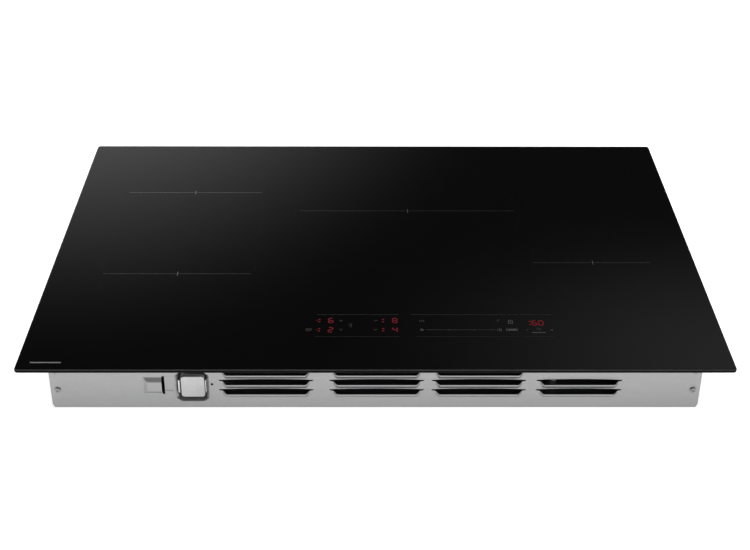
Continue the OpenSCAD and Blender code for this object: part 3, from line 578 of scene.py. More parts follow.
def digit(marks, character, x, y, width, height, stroke):
    """A seven-segment figure about (x, y)."""
    half, gap = stroke / 2, 0.25 * stroke
    w, h = width / 2 - half, height / 2 - half
    ends = {"a": ((-w, h), (w, h)), "g": ((-w, 0), (w, 0)), "d": ((-w, -h), (w, -h)),
            "f": ((-w, 0), (-w, h)), "b": ((w, 0), (w, h)), "e": ((-w, -h), (-w, 0)), "c": ((w, -h), (w, 0))}
    for name in SEGMENTS[character]:
        (ax, ay), (bx, by) = ends[name]
        length = math.hypot(bx - ax, by - ay)
        ux, uy = (bx - ax) / length, (by - ay) / length

        def corner(px, py, along, across):
            return x + px + ux * along - uy * across, y + py + uy * along + ux * across

        inner = gap + half
        marks.prism([corner(ax, ay, gap, 0), corner(ax, ay, inner, half), corner(bx, by, -inner, half),
                     corner(bx, by, -gap, 0), corner(bx, by, -inner, -half), corner(ax, ay, inner, -half)])


def led_figures():
    """The red figures that shine through the glass: four zone levels, their dots, and the timer."""
    red = Marks()
    stroke = 1.35
    rear_y, front_y, timer_y = 95.6, 77.0, 90.8
    for x, y, character in ((-49.6, rear_y, "6"), (-49.6, front_y, "2"),
                            (21.3, rear_y, "8"), (21.3, front_y, "4")):
        digit(red, character, x, y, 6.0, 10.4, stroke)
    for x, y in ((-62.2, rear_y), (-62.2, front_y), (8.3, rear_y), (8.3, front_y)):
        for dy in (-2.3, 2.3):
            red.level(y + dy, 1.5, x - 1.1, x + 1.1)
        if x < 0:
            red.level(y, 0.8, x - 3.4, x - 2.2)
    for y in (87.6, 94.0):
        red.level(y, 1.6, 170.0, 172.0)
    for x, character in ((176.0, "6"), (183.2, "0")):
        digit(red, character, x, timer_y, 6.0, 10.8, stroke)
    red.piece("led_figures", led_material(), "display_plastic")


def control_print():
    """Printed lines and touch symbols of the control panel."""
    lines = Marks()
    lines.level(107.8, 0.75, -64.8, 25.4, 39.8, 160.0, 161.8, 198.0)
    lines.level(63.4, 0.42, -66.4, 26.0, 43.4, 157.6, 161.2, 196.0)
    lines.piece("panel_lines", print_material("panel_ink", 0.02))

    fine, pen, bold = 0.6, 0.7, 0.75
    dim = Marks()
    # pan symbols beside the zone levels
    for x, y in ((-38.2, 95.4), (-38.2, 77.0), (0.0, 95.4), (0.0, 77.0)):
        dim.stroke([(x - 1.2, y + 0.8), (x - 1.0, y - 1.0), (x + 1.0, y - 1.0), (x + 1.2, y + 0.8)], fine)
        dim.level(y + 0.8, fine, x - 2.1, x + 2.1)
    # link between the two left zones
    dim.stroke([(-28.6, 89.6), (-26.4, 88.6), (-26.4, 83.4), (-28.6, 82.4)], pen)
    dim.level(86.0, fine, -30.4, -25.6)
    # wide pan at the left of the panel
    dim.stroke([(-76.8, 79.0), (-76.0, 75.0), (-71.2, 75.0), (-70.4, 79.0)], pen, closed=True)
    for x in (-74.6, -72.6):
        dim.bar((x, 79.0), (x, 75.0), fine)
    # warm symbol, slider line with its two stops, quick boost symbol
    for x in (49.1, 51.3, 53.5):
        dim.stroke([(x - 0.5, 93), (x + 0.4, 94.4), (x - 0.4, 95.6), (x + 0.5, 97)], bold)
    dim.level(77, pen, 54.4, 131.6)
    for x in (80.8, 108.3):
        dim.bar((x, 75.8), (x, 78.2), 1.3)
    dim.stroke([(137.4, 97.4), (134.4, 96.2), (136.8, 95.2), (134.8, 93.4)], pen)
    # timer: less, and a clock
    dim.level(76.6, pen, 165, 168.0)
    dim.arc((179.4, 78.4), 2.2, pen)
    dim.stroke([(179.4, 80.0), (179.4, 78.4), (180.6, 78.4)], fine)
    dim.piece("control_print_dim", print_material("dim_ink", 0.036))

    ink = Marks()
    # nought and ten at the ends of the slider
    ink.arc((50.8, 77), 1.7, bold, aspect=0.8)
    digit(ink, "1", 133.2, 77, 2.2, 4.9, bold)
    digit(ink, "0", 137.0, 77, 2.7, 4.9, bold)
    # padlock
    ink.arc((149.6, 94.2), 2.3, pen, 0, 180)
    ink.stroke([(147.3, 94.2), (147.3, 89.6), (151.9, 89.6), (151.9, 94.2)], pen)
    ink.bar((149.6, 90.6), (149.6, 95.0), pen)
    # plain key field in place of a word, and a plain field under the clock
    ink.stroke([(143.9, 78.4), (143.9, 75.6), (155.8, 75.6), (155.8, 78.4)], bold, closed=True)
    ink.level(77, 1.2, 146.0, 153.6)
    ink.level(71.6, 0.9, 171.8, 186.6)
    # timer: more
    ink.level(76.6, 0.45, 192.4, 195.6)
    ink.bar((194.0, 74.8), (194.0, 78.4), 0.85)
    ink.piece("control_print", print_material("symbol_ink", 0.085))

    # short plain bar at the front left corner
    corner = Marks()
    corner.level(13.8, 1.9, -366, -333.5)
    corner.piece("corner_bar", print_material("corner_ink", 0.2))


# ---------- Pressed tray ----------

TRAY_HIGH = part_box("base_tray")[1]
SHEET = 1.0 * MM
WALL_HALF = TRAY_HIGH.x
WALL_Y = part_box("side_panel_right")[1].y
BEND = 1.8 * MM
CORNER_CUT = 2.7 * MM
CELL = 2.2 * MM
FINE = 0.7 * MM


def smooth_step(t):
    t = min(1.0, max(0.0, t))
    return t * t * t * (t * (6 * t - 15) + 10)


def soft_ramp(t, rounding=0.16):
    """A straight slope from 0 at t = 0 to 1 at t = 1, rounded where it starts and ends."""
    if t <= -rounding or t >= 1 + rounding:
        return 0.0 if t < 0 else 1.0
    if t < rounding:
        return (t + rounding) ** 2 / (4 * rounding)
    if t <= 1 - rounding:
        return t
    return 1 - (1 + rounding - t) ** 2 / (4 * rounding)


def places_along(*spans):
    """Places in order along several spans, without those that nearly coincide. A span is its spacing and its
    edges: each edge is a place, and between the edges no gap is wider than the spacing."""
    found = []
    for spacing, *edges in spans:
        found.append(edges[0])
        for a, b in zip(edges, edges[1:]):
            count = max(1, math.ceil((b - a) / spacing - 1e-6))
            found += [a + (b - a) * (i + 1) / count for i in range(count)]
    kept = []
    for place in sorted(found):
        if not kept or place - kept[-1] > 0.05 * MM:
            kept.append(place)
    return kept


def ring_points(u, v, radius, count=20, start=0.0, end=360.0):
    """Points on a circle, from one angle to another in degrees."""
    angles = [math.radians(start + (end - start) * i / count) for i in range(count + (end - start < 360))]
    return [(u + radius * math.cos(a), v + radius * math.sin(a)) for a in angles]


class Side:
    """One flat side of the tray, given by a plane(u, v, w) with w pointing out of it. Patches with relief and
    the outlines of cut-outs come first; fill() then closes the flat sheet between them."""

    def __init__(self, bm, plane):
        self.bm = bm
        self.plane = plane
        self.rims = []

    def outline(self, points):
        """A closed outline that the flat sheet reaches up to."""
        verts = [self.bm.verts.new(self.plane(u, v, 0.0)) for u, v in points]
        self.rims += [self.bm.edges.new(pair) for pair in zip(verts, verts[1:] + verts[:1])]
        return verts

    def patch(self, columns, rows, point, is_open=lambda i, j: False):
        """A grid of faces whose rim is flat. point(i, j) gives (u, v, w); is_open(i, j) leaves a cell out."""
        grid = []
        for j in range(rows):
            line = []
            for i in range(columns):
                place = Vector(self.plane(*point(i, j)))
                below = grid[-1][i] if grid else None
                line.append(below if below and (below.co - place).length < 1e-6 else self.bm.verts.new(place))
            grid.append(line)
        for j in range(rows - 1):
            for i in range(columns - 1):
                corners = list(dict.fromkeys((*grid[j][i:i + 2], grid[j + 1][i + 1], grid[j + 1][i])))
                if len(corners) > 2 and not is_open(i, j):
                    self.bm.faces.new(corners)
        right = [line[-1] for line in grid[1:]]
        left = [line[0] for line in grid[-2:0:-1]]
        around = grid[0] + right + grid[-1][-2::-1] + left
        for a, b in zip(around, around[1:] + around[:1]):
            if a is not b:
                self.rims.append(self.bm.edges.get((a, b)) or self.bm.edges.new((a, b)))

    def fill(self):
        normal = Vector(self.plane(0, 0, 1)) - Vector(self.plane(0, 0, 0))
        bmesh.ops.triangle_fill(self.bm, edges=self.rims, use_beauty=True, normal=normal)


LOUVRE_PITCH = 12.4
LOUVRE_TOP = 49.9
# A louvre lip's section, in millimetres: height against its cut line, and how far out
LIP_SECTION = (
    (-3.4, 4.7), (-3.6, 4.92), (-4.0, 5.0), (-4.9, 5.0), (-5.25, 4.9), (-5.55, 4.65), (-6.8, 3.4),
    (-8.1, 2.1), (-9.4, 0.8), (-9.75, 0.45), (-10.05, 0.15), (-10.4, 0.0),
)


def louvre_group(side, middle, length, rows):
    """A stack of louvres, in millimetres: slits with an arched upper edge over a lip pressed outwards."""
    half = length / 2
    slit_start, slit_end, arch = 1.6, 1.7, 1.15
    press_start, press_run, press_lean = 2.8, 7.4, 0.45
    rim_above = 1.35
    from_end = (-1.5, 0, 0.4, 0.9, 1.6, 2.2, 2.8, 3.5, 4.2, 4.9, 5.6, 6.3, 7.0, 7.7, 8.4, 9.2, 10.0, 10.8,
                11.8, 13.2, 16.0)
    us = sorted([sign * (half - d) for sign in (-1, 1) for d in from_end] +
                [half * t for t in (-0.5, -0.3, -0.1, 0.1, 0.3, 0.5)])
    first, last = LIP_SECTION[0][0], LIP_SECTION[-1][0]

    def louvre_point(i, j, cut):
        u = us[i]
        from_tip = half - abs(u)
        lower = max(0.0, -1.5 - LIP_SECTION[j - 2][0] + first) if j > 1 else 0.0
        pressed = smooth_step((from_tip - press_start - press_lean * lower) / press_run)
        if j == 0:
            height, out = rim_above, 0.0
        elif j == 1:
            height, out = arch * max(0.0, 1 - (u / half) ** 2), 0.0
        else:
            height, out = LIP_SECTION[j - 2]
            top = -slit_end * min(1.0, max(0.0, from_tip / slit_start)) + (first + slit_end) * pressed
            height = top + (last - top) * (height - first) / (last - first)
        return (middle + u) * MM, (cut + height) * MM, out * pressed * MM

    for row in range(rows):
        cut = LOUVRE_TOP - (row + 3 - rows) * LOUVRE_PITCH
        side.patch(len(us), len(LIP_SECTION) + 2, lambda i, j: louvre_point(i, j, cut), lambda i, j: j == 1)


PAD_Z = 28.5 * MM
WELL_LEFT, WELL_RIGHT, WELL_HALF_H, WELL_DEPTH = -19.6 * MM, 17.8 * MM, 18.9 * MM, 8.5 * MM
HOOK_LEFT, HOOK_RIGHT, HOOK_LOW, HOOK_HIGH, HOOK_OUT = -54.4 * MM, -33.2 * MM, -8.4 * MM, 13.2 * MM, 3.3 * MM
SLIT_RIGHT, SLIT_LOW, SLIT_HIGH = -30.5 * MM, -9.6 * MM, 13.8 * MM
EMBOSS_RIGHT, EMBOSS_LOW, EMBOSS_DEPTH = -19.9 * MM, -5.3 * MM, 0.5 * MM
SCREW_HOLE = 2.1 * MM
BRACKET_HOLE = (20.7 * MM, 3.2 * MM, 1.5 * MM)


def pan_depth(u, v, half_w, half_h, corner, depth, run):
    """The depth of a pressed pan with round corners and a soft slope inside its outline."""
    dx = abs(u) - (half_w - corner)
    dy = abs(v) - (half_h - corner)
    outside = math.hypot(max(dx, 0.0), max(dy, 0.0)) + min(max(dx, dy), 0.0) - corner
    return depth * soft_ramp(-outside / run, 0.2)


def well_depth(u, v):
    """The depth of a pad's well: each side starts softly and steepens behind the rails."""
    gentle, gentle_run, steep_run, upright_run, corner = 3.6, 9.0, 3.6, 3.8, 1.75
    from_side = min(u - WELL_LEFT, WELL_RIGHT - u) / MM
    sideways = min(from_side, gentle) / gentle_run + max(0.0, from_side - gentle) / steep_run
    upright = (WELL_HALF_H - abs(v)) / (upright_run * MM)
    inside = corner - math.hypot(max(corner - sideways, 0.0), max(corner - upright, 0.0))
    return WELL_DEPTH * soft_ramp(inside)


def pad_site_relief(u, v):
    """How far the sheet stands out round a retaining pad's place, about the pad's middle."""
    out = -well_depth(u, v)
    if HOOK_LEFT < u < HOOK_RIGHT + 0.01 * MM:
        out += HOOK_OUT * min(soft_ramp((u - HOOK_LEFT) / (4.8 * MM) - 0.2, 0.2),
                              soft_ramp((HOOK_HIGH - v) / (5.0 * MM) - 0.1, 0.1),
                              soft_ramp((v - HOOK_LOW) / (3.6 * MM) - 0.16))
    elif SLIT_RIGHT - 0.01 * MM < u < EMBOSS_RIGHT:
        out -= (EMBOSS_DEPTH * smooth_step((EMBOSS_RIGHT - u) / (1.0 * MM)) *
                smooth_step((HOOK_HIGH - v) / (0.9 * MM)) * smooth_step((v - EMBOSS_LOW) / (0.9 * MM)))
    return out


def pad_site(side, middle):
    """The well of a retaining pad, with the hook and its slit on the left and a hole on the right."""
    edge_u, edge_v, floor_v = 19.08 * MM, 20.4 * MM, 14.0 * MM
    us = places_along((CELL, HOOK_LEFT - 1.0 * MM, HOOK_LEFT, HOOK_RIGHT, SLIT_RIGHT, -edge_u, edge_u),
                      (FINE, WELL_LEFT - 1.5 * MM, WELL_LEFT + 7.0 * MM),
                      (FINE, WELL_RIGHT - 7.0 * MM, edge_u), (FINE, HOOK_LEFT, HOOK_LEFT + 6.3 * MM))
    vs = places_along((CELL, -edge_v, SLIT_LOW, HOOK_LOW, EMBOSS_LOW, HOOK_HIGH, SLIT_HIGH, edge_v),
                      (FINE, -edge_v, -floor_v), (FINE, floor_v, edge_v),
                      (FINE, HOOK_LOW, EMBOSS_LOW + 2.1 * MM), (FINE, HOOK_HIGH - 5.6 * MM, HOOK_HIGH))

    def point(i, j):
        return middle + us[i], PAD_Z + vs[j], pad_site_relief(us[i], vs[j])

    def in_slit(i, j):
        u, v = (us[i] + us[i + 1]) / 2, (vs[j] + vs[j + 1]) / 2
        return HOOK_RIGHT < u < SLIT_RIGHT and SLIT_LOW < v < SLIT_HIGH

    side.patch(len(us), len(vs), point, in_slit)
    hole_u, hole_v, radius = BRACKET_HOLE
    side.outline(ring_points(middle + hole_u, PAD_Z + hole_v, radius))


def tray_wall(bm, plane, groups, pad_u, cutouts=()):
    """A wall of the tray with its groups of louvres (middle, length, rows), its pad site and its screw holes.
    Returns its two lower corners."""
    side = Side(bm, plane)
    foot, shoulder = WALL_HALF - CORNER_CUT + BEND, CORNER_CUT
    corners = side.outline([(-foot, BEND), (foot, BEND), (WALL_HALF, shoulder), (WALL_HALF, TRAY_HIGH.z),
                            (-WALL_HALF, TRAY_HIGH.z), (-WALL_HALF, shoulder)])
    for group in groups:
        louvre_group(side, *group)
    pad_site(side, pad_u)
    for u, v in ((343.8 * MM, 24 * MM), (344.0 * MM, 48.2 * MM)):
        for sign in (-1, 1):
            side.outline(ring_points(sign * u, v, SCREW_HOLE))
    for points in cutouts:
        side.outline(points)
    side.fill()
    return corners[0], corners[1]


def bottom_rib(side, middle_u, middle_v, width, height):
    """A long pan pressed into the tray's bottom from below."""
    half_w, half_h = width / 2, height / 2
    corner, run, depth, rim = 4 * MM, 1.6 * MM, 1.5 * MM, 1.0 * MM

    def places(half):
        soft = half - corner
        return places_along((FINE, -half - rim, -soft), (12 * MM, -soft, soft), (FINE, soft, half + rim))

    us, vs = places(half_w), places(half_h)
    side.patch(len(us), len(vs), lambda i, j: (middle_u + us[i], middle_v + vs[j],
                                               -pan_depth(us[i], vs[j], half_w, half_h, corner, depth, run)))


def fan_grille(side, node):
    """Ring slots between six spokes under a fan, and its four screw holes."""
    low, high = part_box(node)
    u, v = (low.x + high.x) / 2, (low.y + high.y) / 2
    slot, half_spoke, corner = 3.4 * MM, 2.0 * MM, 35.75 * MM
    for inner in (10 * MM, 16 * MM, 22 * MM, 28 * MM, 34 * MM):
        outer = inner + slot
        for sixth in range(6):
            a, b = (math.degrees(math.asin(half_spoke / r)) for r in (outer, inner))
            start, end = 60 * sixth, 60 * sixth + 60
            count = max(4, round(inner / (3 * MM)))
            side.outline(ring_points(u, v, outer, count, start + a, end - a) +
                         ring_points(u, v, inner, count, start + b, end - b)[::-1])
    for sx, sy in ((1, 1), (1, -1), (-1, 1), (-1, -1)):
        side.outline(ring_points(u + sx * corner, v + sy * corner, SCREW_HOLE))


BOTTOM_RIBS = (
    (-110, -40, 10, 300), (120, -40, 10, 160), (-232, -195, 150, 10), (10, -100, 180, 10),
    (10, -186, 140, 10), (-232, 205, 150, 10), (-110, 210, 10, 40),
)


def tray_bottom(bm):
    """The tray's bottom with its corners cut off; returns them in order from the front left."""
    side = Side(bm, lambda u, v, w: (u, v, -w))
    reach = WALL_Y - BEND
    toe, heel = WALL_HALF - CORNER_CUT, reach - CORNER_CUT
    corners = side.outline([(-toe, -reach), (toe, -reach), (WALL_HALF, -heel), (WALL_HALF, heel),
                            (toe, reach), (-toe, reach), (-WALL_HALF, heel), (-WALL_HALF, -heel)])
    for rib in BOTTOM_RIBS:
        bottom_rib(side, *(value * MM for value in rib))
    fan_grille(side, "fan_housing_left")
    fan_grille(side, "fan_housing_right")
    side.fill()
    return corners


def tray_bend(bm, wall_edge, bottom_edge, direction):
    """The rounded fold between a wall and the bottom; direction is -1 at the front and 1 at the back."""
    steps = 5
    rows = [wall_edge]
    for i in range(1, steps):
        a = math.radians(90 * i / steps)
        y, z = direction * (WALL_Y - BEND + BEND * math.cos(a)), BEND - BEND * math.sin(a)
        along = 1 - math.cos(math.pi / 2 * i / steps)
        rows.append([bm.verts.new((wall.co.x + (bottom.co.x - wall.co.x) * along, y, z))
                     for wall, bottom in zip(wall_edge, bottom_edge)])
    rows.append(bottom_edge)
    for upper, lower in zip(rows, rows[1:]):
        bm.faces.new((upper[0], upper[1], lower[1], lower[0]))


def pressed_tray(material):
    """The tray's outside as one folded and pressed sheet, thickened inwards."""
    bm = bmesh.new()
    front = tray_wall(bm, lambda u, v, w: (u, -WALL_Y - w, v),
                      ((-118.3, 102.9, 3), (1, 103, 3), (111.5, 103, 3), (219.8, 93.8, 2)), -197.5 * MM)
    terminal = [(u * MM, v * MM) for u, v in ((-210.2, 5.8), (-129.8, 5.8), (-129.8, 44.2), (-210.2, 44.2))]
    bushing = ring_points(-96 * MM, 28 * MM, 11.1 * MM, count=40)
    rear = tray_wall(bm, lambda u, v, w: (-u, WALL_Y + w, v),
                     ((230, 100, 3), (115, 100, 3), (0, 100, 3)), -270 * MM, (terminal, bushing))
    bottom = tray_bottom(bm)
    tray_bend(bm, front, (bottom[0], bottom[1]), -1)
    tray_bend(bm, rear, (bottom[4], bottom[5]), 1)
    bmesh.ops.recalc_face_normals(bm, faces=bm.faces)
    at_front = [face for face in bm.faces if face.calc_center_median().y < -WALL_Y + SHEET]
    if sum(face.normal.y * face.calc_area() for face in at_front) > 0:
        bmesh.ops.reverse_faces(bm, faces=bm.faces)
    mesh = plain_mesh(bm, "pressed_tray")
    mesh.shade_smooth()
    made = piece("pressed_tray", mesh, [material], "chassis")
    modify(made, "SOLIDIFY", thickness=SHEET, offset=-1.0, use_even_offset=True)
    modify(made, "BEVEL", width=0.2 * MM, segments=2, limit_method="ANGLE", angle_limit=math.radians(55))
    modify(made, "WEIGHTED_NORMAL", weight=80)
    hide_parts("base_tray")


# ---------- Retaining pads ----------

def sprung_pad(node, body, side, steel):
    """A solid pad with a broad bevel along its top. Here and below, side is -1 at the front and 1 behind."""
    low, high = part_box(node)
    centre_x, half_w = (low.x + high.x) / 2, (high.x - low.x) / 2
    face_y, back_y = (low.y, high.y) if side < 0 else (high.y, low.y)
    thick = 4.0
    # (how far in at the sides, at the top and at the bottom, how far behind the face), in millimetres
    profile = ((0.5, 0.5, 0.5, thick), (0.0, 0.0, 0.0, 3.5), (0.0, 0.0, 0.0, 2.3), (0.02, 0.15, 0.0, 1.95),
               (0.06, 1.1, 0.05, 1.0), (0.12, 1.75, 0.25, 0.4), (0.35, 2.05, 0.6, 0.15),
               (0.7, 2.35, 1.0, 0.03), (1.1, 2.8, 1.4, 0.0), (2.4, 4.0, 2.6, 0.0))
    bm = bmesh.new()
    rings = []
    for at_sides, at_top, at_bottom, behind in profile:
        y = back_y if behind == thick else face_y - side * behind * MM
        bottom, top = low.z + at_bottom * MM, high.z - at_top * MM
        radius = 3.2 * MM - at_sides * MM * 0.5
        outline = rounded_outline(half_w - at_sides * MM, (top - bottom) / 2, radius, 6)
        rings.append([(centre_x + u, y, (top + bottom) / 2 + v) for u, v in outline])
    loft(bm, rings)
    made = piece(node + "_face", mesh_from(bm, node + "_face"), [steel], body)
    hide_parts(node)


def pad_clip(node, side, steel):
    """The pad's guide: two rails with flared front edges on two strips across the well's floor."""
    low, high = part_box(node)
    centre_x, centre_z, reach = (low.x + high.x) / 2, (low.z + high.z) / 2, (high.z - low.z) / 2
    outer = (high.x - low.x) / 2 / MM
    inner, foot, flare_depth = outer - 1.6, 8.4, 3
    # (height in halves of the rail, how far its front edge is pulled in there)
    ends = ((-1, 0.7), (-0.96, 0.25), (-0.88, 0.0), (0.88, 0.0), (0.96, 0.25), (1, 0.7))
    bm = bmesh.new()
    # the left rail flares further out than the right one
    for hand, flare, lip in ((-1, 0.9, 2.2), (1, -0.25, 1.5)):
        front = inner + flare
        # (distance from the pad's middle, depth behind the wall's face), in millimetres
        section = ((inner, foot), (inner, 2.2), (front + 0.1, 0.8), (front + 0.35, 0.5),
                   (front + lip / 2, 0.42), (front + lip - 0.3, 0.6), (front + lip, 1.1),
                   (front + lip - 0.1, 1.7), (outer, 2.6), (outer, foot))
        loft(bm, [[(centre_x + hand * x * MM,
                    side * (WALL_Y - min(foot, depth + (pulled if depth < flare_depth else 0)) * MM),
                    centre_z + height * reach) for x, depth in section]
                  for height, pulled in ends])
    half_strip = 0.9 * MM
    for sign in (-1, 1):
        middle = centre_z + sign * (reach - half_strip)
        loft(bm, [[(centre_x + u, side * (WALL_Y - depth * MM), middle + v) for u, v in
                   rounded_outline(outer * MM - shrink * MM, half_strip - shrink * MM, 0.4 * MM, 3)]
                  for shrink, depth in ((0.15, 8.0), (0.0, 8.1), (0.0, 8.48))])
    made = piece(node + "_clip", mesh_from(bm, node + "_clip"), [steel], "chassis")
    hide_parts(node)


# ---------- Springs behind the pads ----------

def pad_spring(name, side, steel):
    """An arched leaf spring with rounded ends, between a pad and its well."""
    low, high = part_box(name)
    centre_x = (low.x + high.x) / 2
    centre_z = (low.z + high.z) / 2
    run = (high.x - low.x) / 2
    rise = high.y - low.y
    leaf = 0.4 * MM
    half_width = (high.z - low.z) / 2
    floor_y = high.y if side < 0 else low.y
    steps, blunt, narrow = 24, 8, 0.12
    bm = bmesh.new()
    rings = []
    for i in range(steps + 1):
        t = -1 + 2 * i / steps
        taper = half_width * math.sqrt(max(1 - abs(t) ** blunt, narrow))
        arch = (rise - leaf) * (1 - t * t)
        near, far = floor_y + side * arch, floor_y + side * (arch + leaf)
        x = centre_x + t * run
        rings.append([(x, near, centre_z - taper), (x, far, centre_z - taper),
                      (x, far, centre_z + taper), (x, near, centre_z + taper)])
    loft(bm, rings)
    made = piece(name + "_leaf", mesh_from(bm, name + "_leaf"), [steel], "chassis")
    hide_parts(name)
    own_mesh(made)


# ---------- CAD nodes ----------

def soften(node, width):
    """Rounds the sharp edges of a CAD node with modifiers; its own mesh stays as it is."""
    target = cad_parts[node]
    modify(target, "WELD", merge_threshold=0.002 * MM)
    modify(target, "BEVEL", width=width, segments=2, limit_method="ANGLE", angle_limit=math.radians(30))
    modify(target, "WEIGHTED_NORMAL", keep_sharp=True)


def dress(material, *nodes):
    """Gives CAD nodes a material."""
    for name in nodes:
        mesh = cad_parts[name].data
        mesh.materials.clear()
        mesh.materials.append(material)


def node_middle(node):
    low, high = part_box(node)
    return (low + high) / 2


# Material, colour, roughness and nodes
PLASTICS = (
    ("fan_plastic", (0.016, 0.016, 0.018), 0.45, "fan_housing_left", "fan_housing_right"),
    ("rotor_plastic", (0.035, 0.036, 0.04), 0.35, "fan_rotor_left", "fan_rotor_right"),
    ("film_capacitor", (0.5, 0.46, 0.36), 0.35, "film_capacitors"),
    ("nylon", (0.72, 0.7, 0.64), 0.5, "board_standoffs"),
    ("ivory_plastic", (0.62, 0.6, 0.54), 0.42, "terminal_box"),
    ("cover_plastic", (0.66, 0.64, 0.58), 0.38, "terminal_cover"),
    ("terminal_plastic", (0.045, 0.046, 0.05), 0.5, "terminal_block"),
    ("bushing_nylon", (0.012, 0.012, 0.014), 0.4, "cable_bushing"),
    ("holder_plastic", (0.022, 0.023, 0.026), 0.5, "control_holder"),
    ("display_plastic", (0.6, 0.56, 0.48), 0.4, "led_displays"),
    ("sensor_silicone", (0.27, 0.05, 0.035), 0.45, "coil_sensors"),
)
METALS = (
    ("zinc_screw", (0.3, 0.3, 0.3), 0.3, "front_screws", "rear_screws", "fan_screws"),
    ("touch_spring", (0.62, 0.52, 0.3), 0.3, "touch_springs"),
    ("coil_spring", (0.5, 0.51, 0.53), 0.3, "coil_springs"),
)
# Width of the rounding in millimetres, and nodes
SOFT_EDGES = (
    (0.15, "front_screws", "rear_screws", "power_transistors"),
    (0.2, "mounting_frame", "heatsink_left", "heatsink_right"),
    (0.3, "side_panel_left", "side_panel_right"),
    (0.4, "cable_bushing", "terminal_block"),
    (0.5, "fan_housing_left", "fan_housing_right", "terminal_box", "terminal_cover"),
    (0.8, "film_capacitors"),
)


def dress_all():
    dress(SHEET_STEEL, "side_panel_left", "side_panel_right", "mounting_frame")
    for name, color, roughness, *nodes in PLASTICS:
        dress(plastic(name, color, roughness), *nodes)
    for name, color, roughness, *nodes in METALS:
        dress(metal(name, color, roughness), *nodes)
    dress(plastic("silicone_bead", (0.02, 0.02, 0.022), 0.3, 3 * MM, 0.1 * MM), "frame_adhesive")

    board_top = 9.6 * MM
    green = board_material("power_board", (0.012, 0.09, 0.04), board_top)
    dress(green, "inverter_board_left", "inverter_board_right", "mains_filter_board")
    dress(board_material("control_board", (0.01, 0.07, 0.045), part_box("control_board")[1].z), "control_board")
    dress(metal("heatsink", (0.68, 0.69, 0.7), 0.35, (1, 0.05, 1), contrast=0.12),
          "heatsink_left", "heatsink_right")
    legs_top = board_top + 4 * MM
    dress(two_zone("transistor", (0.6, 0.6, 0.58), (0.012, 0.012, 0.013), legs_top, 0.4, (1.0, 0.0)),
          "power_transistors")
    cap_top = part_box("bus_capacitors")[1].z - 0.7 * MM
    dress(two_zone("bus_capacitor", (0.02, 0.035, 0.08), (0.7, 0.7, 0.7), cap_top, 0.3, (0.0, 1.0)),
          "bus_capacitors")
    dress(choke_material(), "filter_chokes")
    dress(ribbon_material(), "ribbon_cable")

    dress(metal("coil_plate", (0.7, 0.71, 0.72), 0.38, (1, 0.06, 1)),
          "coil_plate_left", "coil_plate_centre", "coil_plate_right")
    carrier = plastic("coil_carrier", (0.05, 0.04, 0.033), 0.5)
    ferrite = plastic("ferrite", (0.02, 0.02, 0.023), 0.55, 0.3 * MM, 0.03 * MM)
    mica = mica_material()
    for zone in ("rear_left", "front_left", "centre", "right"):
        dress(carrier, "coil_carrier_" + zone)
        dress(ferrite, "ferrite_bars_" + zone)
        dress(mica, "mica_sheet_" + zone)
        middle = node_middle("coil_winding_" + zone)
        dress(winding_material("litz_wire_" + zone, middle, 3 * MM), "coil_winding_" + zone)


# ---------- Stage ----------

def direction(azimuth, elevation):
    """The unit vector at an azimuth from the back towards the right, and an elevation, both in degrees."""
    az, el = math.radians(azimuth), math.radians(elevation)
    return Vector((math.sin(az) * math.cos(el), math.cos(az) * math.cos(el), math.sin(el)))


# Soft glows of the studio: azimuth, elevation, upright squeeze, reach and brightness
GLOWS = (
    (-12.5, 17, 1.15, 0.354, 0.90), (25, 34, 3.5, 0.41, 0.22), (172, 14, 1.3, 0.80, 1.10),
    (-100, 25, 1.0, 0.40, 0.35), (100, 25, 1.0, 0.40, 0.35),
)
STUDIO_DARK = 0.018


def studio_world():
    """A dim studio round the object with a few soft glows for the gloss to mirror."""
    world = bpy.data.worlds.new("studio")
    bpy.context.scene.world = world
    world.use_nodes = True
    tree = world.node_tree

    def vector_step(operation, vector, operand=(0.0, 0.0, 0.0)):
        """One step of vector arithmetic."""
        node = add_node(tree, "VectorMath")
        node.operation = operation
        node.inputs[1].default_value = operand
        tree.links.new(vector, node.inputs[0])
        return node.outputs["Value" if operation == "LENGTH" else "Vector"]

    place = add_node(tree, "TexCoord").outputs["Generated"]
    total = None
    for azimuth, elevation, squeeze, reach, brightness in GLOWS:
        offset = vector_step("SUBTRACT", place, direction(azimuth, elevation))
        distance = vector_step("LENGTH", vector_step("MULTIPLY", offset, (1.0, 1.0, squeeze)))
        glow = add_node(tree, "MapRange", From_Min=reach, From_Max=0.0, To_Min=0.0, To_Max=brightness)
        glow.interpolation_type = "SMOOTHERSTEP"
        tree.links.new(distance, glow.inputs["Value"])
        add = add_node(tree, "Math")
        add.inputs[0].default_value = STUDIO_DARK
        tree.links.new(glow.outputs["Result"], add.inputs[1])
        if total is not None:
            tree.links.new(total, add.inputs[0])
        total = add.outputs["Value"]
    tree.links.new(total, tree.nodes["Background"].inputs["Color"])


def stage_surface(name, quads, material):
    """A surface of the studio, just below the object's lowest level."""
    bm = bmesh.new()
    for quad in quads:
        bm.faces.new([bm.verts.new(corner) for corner in quad])
    mesh = plain_mesh(bm, name)
    mesh.materials.append(material)
    surface = add_object(name, mesh)
    surface.location.z = cad_low.z - 0.2 * MM
    return surface


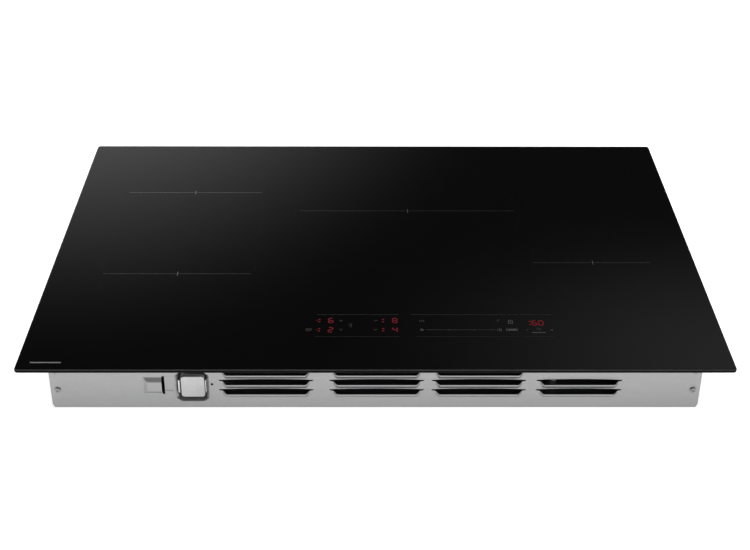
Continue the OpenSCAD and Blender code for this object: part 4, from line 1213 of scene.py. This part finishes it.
def studio_room():
    """A plain pale floor with a little light of its own, so that it stays nearly white, and a round wall in
    the same tone that only the camera sees, behind the object in low views."""
    s = Shader("pale_floor", (0.86, 0.86, 0.86), 0.9)
    s.set("Emission Color", (1.0, 1.0, 1.0, 1.0))
    s.set("Emission Strength", 0.78)
    reach, height = 14.0, 6.0
    corners = tuple((sx * reach, sy * reach, 0) for sx, sy in ((-1, -1), (1, -1), (1, 1), (-1, 1)))
    stage_surface("studio_floor", [corners], s.material)
    foot = ring_points(0.0, 0.0, reach, count=64)
    wall = stage_surface("studio_wall", [((*a, 0), (*b, 0), (*b, height), (*a, height))
                                         for a, b in zip(foot, foot[1:] + foot[:1])], s.material)
    wall.visible_diffuse = wall.visible_glossy = wall.visible_transmission = wall.visible_shadow = False


def soft_light(name, place, size, power):
    """A square softbox that points at the object and doesn't show in its gloss."""
    data = bpy.data.lights.new(name, "AREA")
    data.shape = "SQUARE"
    data.size = size
    data.energy = power
    lamp = add_object(name, data)
    lamp.location = place
    lamp.rotation_euler = (Vector((0.0, 0.0, 0.05)) - Vector(place)).to_track_quat("-Z", "Y").to_euler()
    lamp.visible_glossy = False


def studio():
    studio_world()
    studio_room()
    soft_light("overhead", (0.0, 0.0, 2.6), 3.0, 60.0)
    soft_light("front_fill", (0.3, -2.8, 1.5), 2.0, 22.0)
    soft_light("back_fill", (-0.6, 2.8, 1.5), 2.0, 12.0)
    bpy.context.scene.view_settings.view_transform = "Standard"


def studio_camera():
    data = bpy.data.cameras.new("camera")
    data.lens = 66.44
    data.sensor_width = 36.0
    camera = add_object("camera", data)
    camera.location = (-0.011, -1.465, 0.904)
    camera.rotation_euler = (math.radians(58.95), math.radians(-0.22), math.radians(-0.32))
    bpy.context.scene.camera = camera


# ---------- Everything, in order ----------

studio_camera()
studio()
SHEET_STEEL = galvanised_sheet()
dress_all()
pressed_tray(SHEET_STEEL)
for width, *nodes in SOFT_EDGES:
    for node in nodes:
        soften(node, width * MM)
glass_panel()
seal_ring()
zone_marks()
zone_outlines()
led_figures()
control_print()
pad_steel = metal("pad_steel", (0.41, 0.41, 0.414), 0.32, (0.1, 1, 1))
clip_steel = metal("clip_steel", (0.5, 0.5, 0.505), 0.26, (1, 1, 0.1))
for place, side in (("front", -1), ("rear", 1)):
    sprung_pad("retaining_pad_" + place, "pad_" + place, side, pad_steel)
    pad_clip("pad_guide_" + place, side, clip_steel)
leaf_steel = metal("spring_steel", (0.52, 0.53, 0.55), 0.28, (0.1, 1, 1))
pad_spring("pad_spring_front", -1, leaf_steel)
pad_spring("pad_spring_rear", 1, leaf_steel)
